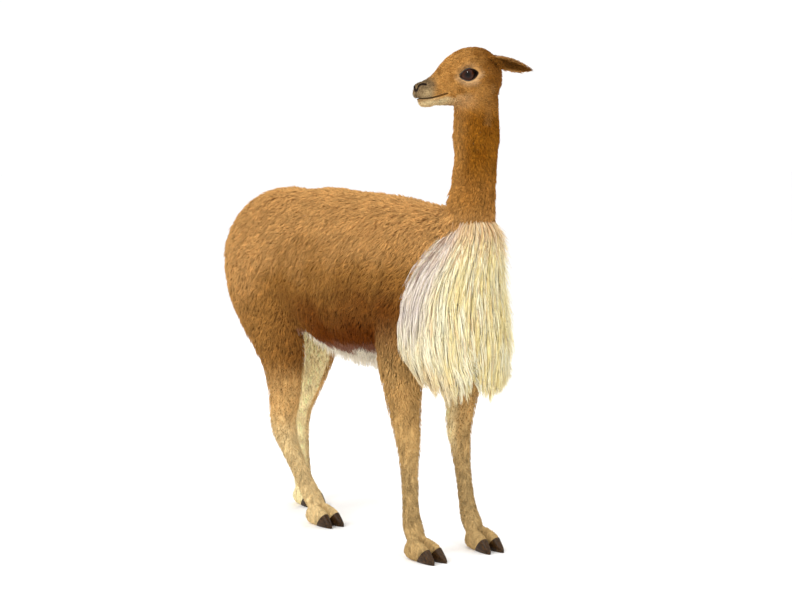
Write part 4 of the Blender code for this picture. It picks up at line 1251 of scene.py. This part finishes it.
def tail_locks(ground, many, number, finish):
    """Bushy hair of the tail: strands in locks that lie along it and gather towards its tip."""
    draw = np.random.default_rng(number)
    last = len(TAIL) - 1
    marks = np.linspace(0, last, 61)
    frames = [ring_frame(TAIL, mark, Vector((0.0, 1.0, 0.0))) for mark in marks]
    table = np.array([(*row, *side, *up) for row, side, up in frames])
    start = 0.7 + (last - 1.5) * draw.uniform(0, 1, many)
    angle = draw.uniform(0, 2 * math.pi, many)
    step = 2 * math.pi / TAIL_LOCKS_ROUND
    key = np.round(angle / step) + 40 * np.round(start / TAIL_LOCK_RUN)
    lock = of_locks(key, number + 1, 900, 3)
    t = np.linspace(0, 1, TAIL_PLACES)[None]
    length = draw.uniform(0.040, 0.085, many) * (1.0 + 0.15 * lock[:, 0])
    place = start[:, None] + length[:, None] * t / TAIL_STEP
    aim = np.round(angle / step) * step + 0.10 * lock[:, 1] - angle
    turn = angle[:, None] + 0.8 * aim[:, None] * t**1.3 + draw.normal(0, 0.14, many)[:, None] * t
    at = [np.interp(place, marks, table[:, k]) for k in range(table.shape[1])]
    middle, half, reach = np.stack(at[:3], -1), at[5], at[3]
    side, ahead = np.stack(at[6:9], -1), np.stack(at[9:12], -1)
    layer = draw.uniform(0, 1, many)
    rise = np.sin(np.minimum(t * 1.5, 1.0) * math.pi / 2)
    lift = -0.004 + (0.005 + 0.006 * layer + 0.002 * lock[:, 2])[:, None] * rise
    lift += 0.004 * layer[:, None] * ramp(place, 4.0, 6.5)
    out = side * np.cos(turn)[:, :, None] + ahead * np.sin(turn)[:, :, None]
    spine = middle + side * (np.cos(turn) * (half + lift))[:, :, None]
    spine += ahead * (np.sin(turn) * (reach + lift))[:, :, None]
    spine[:, :, 2] -= np.maximum(place - last, 0.0) * TAIL_STEP
    points, normals, where = ground.nearest(spine[:, 0])
    across, up = frames_along(spine, out)
    widths = tapered(draw.uniform(0.0016, 0.0032, many), t[0], 0.16, 0.74, 0.8)
    painted = markings(points, normals) * (1.0 + 0.08 * draw.normal(size=many) + 0.07 * lock[:, 1])[:, None]
    obj = blades("tail_locks", spine, across, up, widths, 0.32, where, painted)
    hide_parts("tail")
    dress(obj, finish)


# Materials


def set_inputs(node, values):
    """Sets a node's inputs by their names, with _ for each space."""
    for socket, value in values.items():
        node.inputs[socket.replace("_", " ")].default_value = value
    return node


def new_material(name, roughness, **constants):
    """A Principled material. Constants name further sockets, with _ for each space."""
    made = bpy.data.materials.new(name)
    made.use_nodes = True
    shader = made.node_tree.nodes["Principled BSDF"]
    set_inputs(shader, {"Roughness": roughness, "Metallic": 0.0, **constants})
    return made, made.node_tree, shader


def add_node(nodes, kind, **values):
    return set_inputs(nodes.new("ShaderNode" + kind), values)


def add_relief(tree, shader, height, strength, distance):
    """A bump that feeds the shader's normal."""
    relief = add_node(tree.nodes, "Bump", Strength=strength, Distance=distance)
    tree.links.new(height, relief.inputs["Height"])
    tree.links.new(relief.outputs["Normal"], shader.inputs["Normal"])


def tone_ramp(nodes, *stops):
    """A colour ramp through stops of position and colour."""
    made = nodes.new("ShaderNodeValToRGB")
    elements = made.color_ramp.elements
    for k, (position, colour) in enumerate(stops):
        stop = elements[k] if k < 2 else elements.new(position)
        stop.position = position
        stop.color = (*colour, 1.0)
    return made


def hair_streaks():
    """Group: fine streaks along one direction. It puts out a height and a tone that vary."""
    group = bpy.data.node_groups.new("hair streaks", "ShaderNodeTree")
    for word, way, kind in (
        ("Stretch", "INPUT", "Vector"),
        ("Colour", "INPUT", "Color"),
        ("Colour", "OUTPUT", "Color"),
        ("Height", "OUTPUT", "Float"),
    ):
        group.interface.new_socket(word, in_out=way, socket_type="NodeSocket" + kind)
    nodes, links = group.nodes, group.links
    take, give = nodes.new("NodeGroupInput"), nodes.new("NodeGroupOutput")
    place = nodes.new("ShaderNodeTexCoord")
    grow_by = nodes.new("ShaderNodeVectorMath")
    grow_by.operation = "MULTIPLY"
    links.new(place.outputs["Object"], grow_by.inputs[0])
    links.new(take.outputs["Stretch"], grow_by.inputs[1])
    strands = add_node(nodes, "TexNoise", Scale=1.0, Detail=4.0, Roughness=0.65)
    links.new(grow_by.outputs[0], strands.inputs["Vector"])
    tone = add_node(nodes, "MapRange", From_Min=0.30, From_Max=0.70, To_Min=0.80, To_Max=1.14)
    links.new(strands.outputs["Fac"], tone.inputs["Value"])
    scale = nodes.new("ShaderNodeVectorMath")
    scale.operation = "SCALE"
    links.new(take.outputs["Colour"], scale.inputs[0])
    links.new(tone.outputs["Result"], scale.inputs["Scale"])
    links.new(scale.outputs[0], give.inputs["Colour"])
    links.new(strands.outputs["Fac"], give.inputs["Height"])
    return group


STREAKS = hair_streaks()


def hair_material(name, stretch, bump, roughness=0.88, **constants):
    """Hair that takes its marking from the piece's own colours, with fine streaks over it."""
    made, tree, shader = new_material(name, roughness, **constants)
    paint = tree.nodes.new("ShaderNodeVertexColor")
    paint.layer_name = "coat"
    hairs = tree.nodes.new("ShaderNodeGroup")
    hairs.node_tree = STREAKS
    hairs.inputs["Stretch"].default_value = stretch
    tree.links.new(paint.outputs["Color"], hairs.inputs["Colour"])
    tree.links.new(hairs.outputs["Colour"], shader.inputs["Base Color"])
    if bump:
        add_relief(tree, shader, hairs.outputs["Height"], 0.6, bump)
    return made


def nodes_like(*starts):
    return [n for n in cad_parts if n.startswith(starts)]


def main_pieces():
    skin = make_skin()
    unwrap(skin)
    skin.data.shade_smooth()
    points = points_of(skin.data)
    add_colour(skin.data, markings(points, normals_of(skin.data)))
    ground = Ground(skin)
    skin_coat = hair_material("skin with short fur", (420.0, 420.0, 110.0), 0.0012, Specular_IOR_Level=0.06)
    short = hair_material("short coat", (260.0, 260.0, 90.0), 0.0, Specular_IOR_Level=0.06)
    sheen = {"Specular_IOR_Level": 0.3, "Sheen_Weight": 0.25, "Sheen_Roughness": 0.5}
    long_hair = hair_material("long pale hair", (300.0, 300.0, 40.0), 0.0, 0.7, **sheen)
    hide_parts(*FLESH, *nodes_like("toe_"), "ear_left", "ear_right", "tail", "chest_bib")
    dress(skin, skin_coat)
    m = ground.middle
    x, y, z = m.T
    h = head_place(m)
    # no tufts over the lids, the mouth and the nostrils, under the soles and, but for a few, under the bib
    mouth, nostril = (path_distance(h, LINES[name]) for name in ("mouth", "nostril"))
    off = (mouth > MOUTH_CLEAR) & (nostril > NOSTRIL_CLEAR) | (z < 1.05)
    clear = ramp(eye_distance(m), 1.10, 1.25) * off
    hidden = 1.0 - 0.9 * under_bib(m) * ramp(z, 0.80, 0.76)
    head = (z > HEAD_LOW) * clear * (1.0 + 1.4 * ramp(h[:, 0], 0.03, 0.10))
    neck = (neck_level(x, z) > 0.86) & (x > 0.2) & (z <= HEAD_LOW)
    line = belly_line(x)
    leg = (z < 0.50) & ~neck & (z < line + 0.01)
    trunk = ~neck & ~leg & (z <= HEAD_LOW)
    foot = (z > 0.006) * (1.0 + 1.5 * ramp(z, 0.30, 0.08))
    right, fore, rump = y < 0, x > FORE_HALF, x <= RUMP_FROM
    legs_fore, legs_hind = (nodes_like("leg_" + end, "toe_" + end) for end in ("fore", "hind"))
    patches = [
        ("coat_head", head, 27000, "neck_coat", ["head", "ear_left", "ear_right"]),
        ("coat_neck_right", neck * right, 10000, "neck_coat", ["neck"]),
        ("coat_neck_left", neck * ~right, 10000, "neck_coat", ["neck"]),
        ("coat_flank_right", trunk * right * ~rump, 19000, "body_coat", ["torso"]),
        ("coat_flank_left", trunk * ~right * ~rump, 19000, "body_coat", ["torso"]),
        ("coat_rump_right", trunk * right * rump, 21500, "body_coat", ["torso"]),
        ("coat_rump_left", trunk * ~right * rump, 21500, "body_coat", ["torso"]),
        ("coat_forelegs", leg * foot * fore, 18500, "leg_coat", legs_fore),
        ("coat_hind_legs", leg * foot * ~fore, 20500, "leg_coat", legs_hind),
    ]
    for number, (name, weight, many, slot, nodes) in enumerate(patches):
        coat = grow(name, ground, weight * hidden, many, 100 + number, slot, short)
        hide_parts(*nodes)
    for k in range(3):
        bib_locks(f"bib_locks_{k}", ground, 5000, 31 + k, long_hair)
    chest = under_bib(m) * (z > 0.70) + ramp(bib_angle(m), 90, 80) * (np.abs(z - 0.812) < 0.022) * (x > 0.2)
    hanging_locks("bib_crown", ground, chest, 3200, 51, long_hair, CROWN_SIZES, None, 0.25)
    belly = (np.abs(z - line - 0.012) < 0.022) * (x > -0.20) * (x < 0.19) * (np.abs(y) < 0.14)
    belly = belly * ~outer_leg(m)
    hanging_locks("belly_fringe", ground, belly, 1900, 61, long_hair, FRINGE_SIZES, BELLY_WHITE)
    tail_locks(ground, 1800, 71, short)


def unwrap(obj):
    """Lays the skin's own shape out flat as OFBake."""
    obj.data.uv_layers.new(name="OFBake")
    bpy.context.view_layer.objects.active = obj
    obj.select_set(True)
    bpy.ops.object.mode_set(mode="EDIT")
    bpy.ops.mesh.select_all(action="SELECT")
    bpy.ops.uv.smart_project(angle_limit=math.radians(66.0), island_margin=0.001)
    bpy.ops.object.mode_set(mode="OBJECT")
    obj.select_set(False)


# Eyes and nails


def eye_material(name, middle, outward):
    """A wet dark eye: a brown iris and a round pupil about the way it looks."""
    made, tree, shader = new_material(name, 0.06, Specular_IOR_Level=0.18)
    nodes, links = tree.nodes, tree.links
    place = nodes.new("ShaderNodeTexCoord")
    turn = add_node(nodes, "Mapping", Location=middle, Rotation=outward.to_track_quat("Y", "Z").to_euler())
    turn.vector_type = "TEXTURE"
    links.new(place.outputs["Object"], turn.inputs["Vector"])
    parts = nodes.new("ShaderNodeSeparateXYZ")
    links.new(turn.outputs["Vector"], parts.inputs["Vector"])
    flat = nodes.new("ShaderNodeCombineXYZ")
    for axis in "XZ":
        links.new(parts.outputs[axis], flat.inputs[axis])
    length = nodes.new("ShaderNodeVectorMath")
    length.operation = "LENGTH"
    links.new(flat.outputs["Vector"], length.inputs[0])
    pupil, iris, rim = (0.004, 0.002, 0.0015), (0.060, 0.014, 0.004), (0.020, 0.008, 0.004)
    tone = tone_ramp(nodes, (0.0070, pupil), (0.0100, iris), (0.0165, rim))
    links.new(length.outputs["Value"], tone.inputs["Fac"])
    links.new(tone.outputs["Color"], shader.inputs["Base Color"])
    return made


def eye_centre(side):
    return Vector((EYE_AT[0], EYE_AT[1] * side, EYE_AT[2]))


def make_eye(word, side):
    place = head_matrix()
    middle = eye_centre(side)
    bm = ball((0, 0, 0), [EYE_RADIUS - EYE_PLAY / 2] * 3, 64, 48)
    eye = as_object("eyeball_" + word, moved(bm, place @ Matrix.Translation(middle)))
    eye.data.shade_smooth()
    at = place @ middle + TO_FRAME
    outward = (place.to_3x3() @ Vector((0.22, side, 0.02))).normalized()
    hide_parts("eye_" + word)
    dress(eye, eye_material("wet eye " + word, at, outward))


def lid_point(side, angle):
    """A point of the almond opening on the ball of the lids, in the head's axes."""
    across = math.cos(angle)
    narrow = (1.0 - across * across) ** EYE_CORNERS
    a = across * EYE_OPENING[0]
    v = math.sin(angle) * EYE_OPENING[1] * narrow
    reach = EYE_RADIUS + LID_DEPTH * 0.55
    l = math.sqrt(max(reach * reach - a * a * 0.93 - v * v, 0.0))
    return Vector((EYE_AT[0] + a, (EYE_AT[1] + l) * side, EYE_AT[2] + v))


def make_lids(word, side, finish):
    """The bare dark rim of the lids: a small circle spun to a ring, then drawn out to the almond."""
    bm = bmesh.new()
    upright = Matrix.Translation((1.0, 0.0, 0.0)) @ Matrix.Rotation(math.pi / 2, 4, "X")
    section = bmesh.ops.create_circle(bm, segments=10, radius=LID_RIM, matrix=upright)["verts"]
    edges = list({edge for v in section for edge in v.link_edges})
    bmesh.ops.spin(
        bm, geom=section + edges, cent=(0, 0, 0), axis=(0, 0, 1), angle=2 * math.pi, steps=96, use_merge=True
    )
    middle = eye_centre(side)
    for v in bm.verts:
        angle = math.atan2(v.co.y, v.co.x)
        outward = math.hypot(v.co.x, v.co.y) - 1.0
        point = lid_point(side, angle)
        run = (lid_point(side, angle + 0.06) - lid_point(side, angle - 0.06)).normalized()
        out = (point - middle).normalized()
        v.co = point + out * v.co.z + run.cross(out).normalized() * outward
    lids = as_object("lid_rim_" + word, closed(moved(bm, head_matrix())))
    lids.data.shade_smooth()
    dress(lids, finish)


def make_lashes(word, side, finish):
    """Long lashes that fan out from the upper lid."""
    draw = np.random.default_rng(91 if side > 0 else 92)
    place = head_matrix()
    middle = eye_centre(side)
    angles = np.radians(np.arange(20.0, 161.0, 2.5))
    spines, outs = [], []
    for angle in angles:
        root = lid_point(side, angle)
        out = (root - middle).normalized()
        up = Vector((0.0, 0.0, 1.0))
        fan = Vector((math.cos(angle), 0.0, 0.0))
        way = (out * 0.9 + up * 0.25 + fan * 0.45).normalized()
        length = 0.0095 * draw.uniform(0.7, 1.15) * math.sin(angle) ** 0.8
        strand = []
        for t in (0.0, 0.35, 0.7, 1.0):
            strand.append(root + way * (length * t) + up * (0.004 * t * t) - out * 0.0006 * (1 - t))
        spines.append([place @ p for p in strand])
        outs.append([place.to_3x3() @ out] * 4)
    spine, out = np.array(spines), np.array(outs)
    side_way, up_way = frames_along(spine, out)
    widths = np.full((len(angles), 2), 0.00050) * np.array((1.0, 0.7))
    uv = np.column_stack((np.linspace(0.1, 0.9, len(angles)), np.full(len(angles), 0.5)))
    colours = np.broadcast_to(LASH_DARK, (len(angles), 3))
    obj = blades("lashes_" + word, spine, side_way, up_way, widths, 0.5, uv, colours, (1.0, 1.0))
    dress(obj, finish)


def horn_material():
    made, tree, shader = new_material("dark horn", 0.40, Specular_IOR_Level=0.2)
    nodes, links = tree.nodes, tree.links
    place = nodes.new("ShaderNodeTexCoord")
    lines = add_node(nodes, "TexNoise", Scale=1.0, Detail=3.0)
    stretch = add_node(nodes, "Mapping", Scale=(60.0, 700.0, 260.0))
    links.new(place.outputs["Object"], stretch.inputs["Vector"])
    links.new(stretch.outputs["Vector"], lines.inputs["Vector"])
    tone = tone_ramp(nodes, (0.35, (0.012, 0.006, 0.002)), (0.70, (0.080, 0.036, 0.010)))
    links.new(lines.outputs["Fac"], tone.inputs["Fac"])
    links.new(tone.outputs["Color"], shader.inputs["Base Color"])
    add_relief(tree, shader, lines.outputs["Fac"], 0.5, 0.0004)
    return made


def make_nails(finish):
    """A smooth pointed nail over the end of each digit, with its underside flat on the ground."""
    for key in FEET:
        foot = foot_place(key)
        for side in (1, -1):
            word = "outer" if (side > 0) == key.endswith("left") else "inner"
            bm = tube(digit_rows(), 32, 40, DIGIT_ROUND)
            cut_flat(bm, Vector((NAIL_START, 0.0, 0.0)), -NAIL_EDGE)
            bm = on_ground(moved(bm, digit_place(foot, side)))
            nail = as_object(f"horn_{key}_{word}", bm)
            nail.data.shade_smooth()
            nail.data.set_sharp_from_angle(angle=math.radians(50.0))
            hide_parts(f"nail_{key}_{word}")
            dress(nail, finish)


# Floor, light and camera

CAMERA_BACK = Vector((0.8121, -0.5835, 0.0)).normalized()
CAMERA_RIGHT = Vector((0.5835, 0.8121, 0.0)).normalized()
CAMERA_DISTANCE = 4.8
CAMERA_ASIDE = -0.049
CAMERA_HEIGHT = 0.991
FOCAL_PIXELS = 1890.0
HORIZON_ROW = 147
FRAME_SIZE = (792, 612)
FLOOR_REACH = 60.0
SKY = 1.04


def make_camera():
    data = bpy.data.cameras.new("camera")
    camera = link_new("camera", data)
    pitch = math.atan((FRAME_SIZE[1] / 2 - HORIZON_ROW) / FOCAL_PIXELS)
    data.sensor_width = 36.0
    data.lens = data.sensor_width * FOCAL_PIXELS * math.cos(pitch) / FRAME_SIZE[0]
    away = CAMERA_BACK * CAMERA_DISTANCE - CAMERA_RIGHT * CAMERA_ASIDE
    camera.location = away + Vector((TO_FRAME.x, TO_FRAME.y, CAMERA_HEIGHT))
    look = -CAMERA_BACK * math.cos(pitch) - Vector((0.0, 0.0, math.sin(pitch)))
    camera.rotation_euler = look.to_track_quat("-Z", "Y").to_euler()
    bpy.context.scene.camera = camera


def make_light(name, place, size, power, colour=(1.0, 1.0, 1.0)):
    data = bpy.data.lights.new(name, "AREA")
    data.shape = "DISK"
    data.size = size
    data.energy = power
    data.color = colour
    light = link_new(name, data)
    light.location = place
    aim = Vector((0.0, 0.0, 0.6)) - Vector(place)
    light.rotation_euler = aim.to_track_quat("-Z", "Y").to_euler()


def make_studio():
    bm = bmesh.new()
    bmesh.ops.create_grid(bm, x_segments=1, y_segments=1, size=FLOOR_REACH)
    floor = as_object("floor", bm)
    finish = new_material("pale floor", 0.9, Base_Color=(0.98, 0.98, 0.975, 1.0))[0]
    floor.data.materials.append(finish)
    world = bpy.data.worlds.new("pale studio")
    world.use_nodes = True
    set_inputs(world.node_tree.nodes["Background"], {"Color": (1.0, 1.0, 1.0, 1.0), "Strength": SKY})
    bpy.context.scene.world = world
    make_light("key", (0.6, -4.0, 3.8), 2.2, 100.0, (1.0, 0.98, 0.95))
    make_light("fill", (3.95, -0.6, 3.25), 0.5, 42.0)
    make_light("back", (-3.2, 2.4, 3.0), 2.0, 36.0)
    bpy.context.scene.view_settings.view_transform = "Standard"


main_pieces()
bare_skin = new_material("bare dark skin", 0.38, Base_Color=(0.022, 0.014, 0.011, 1.0))[0]
for side_word, side_sign in (("left", 1), ("right", -1)):
    make_eye(side_word, side_sign)
    make_lids(side_word, side_sign, bare_skin)
    make_lashes(side_word, side_sign, bare_skin)
make_nails(horn_material())
make_studio()
make_camera()
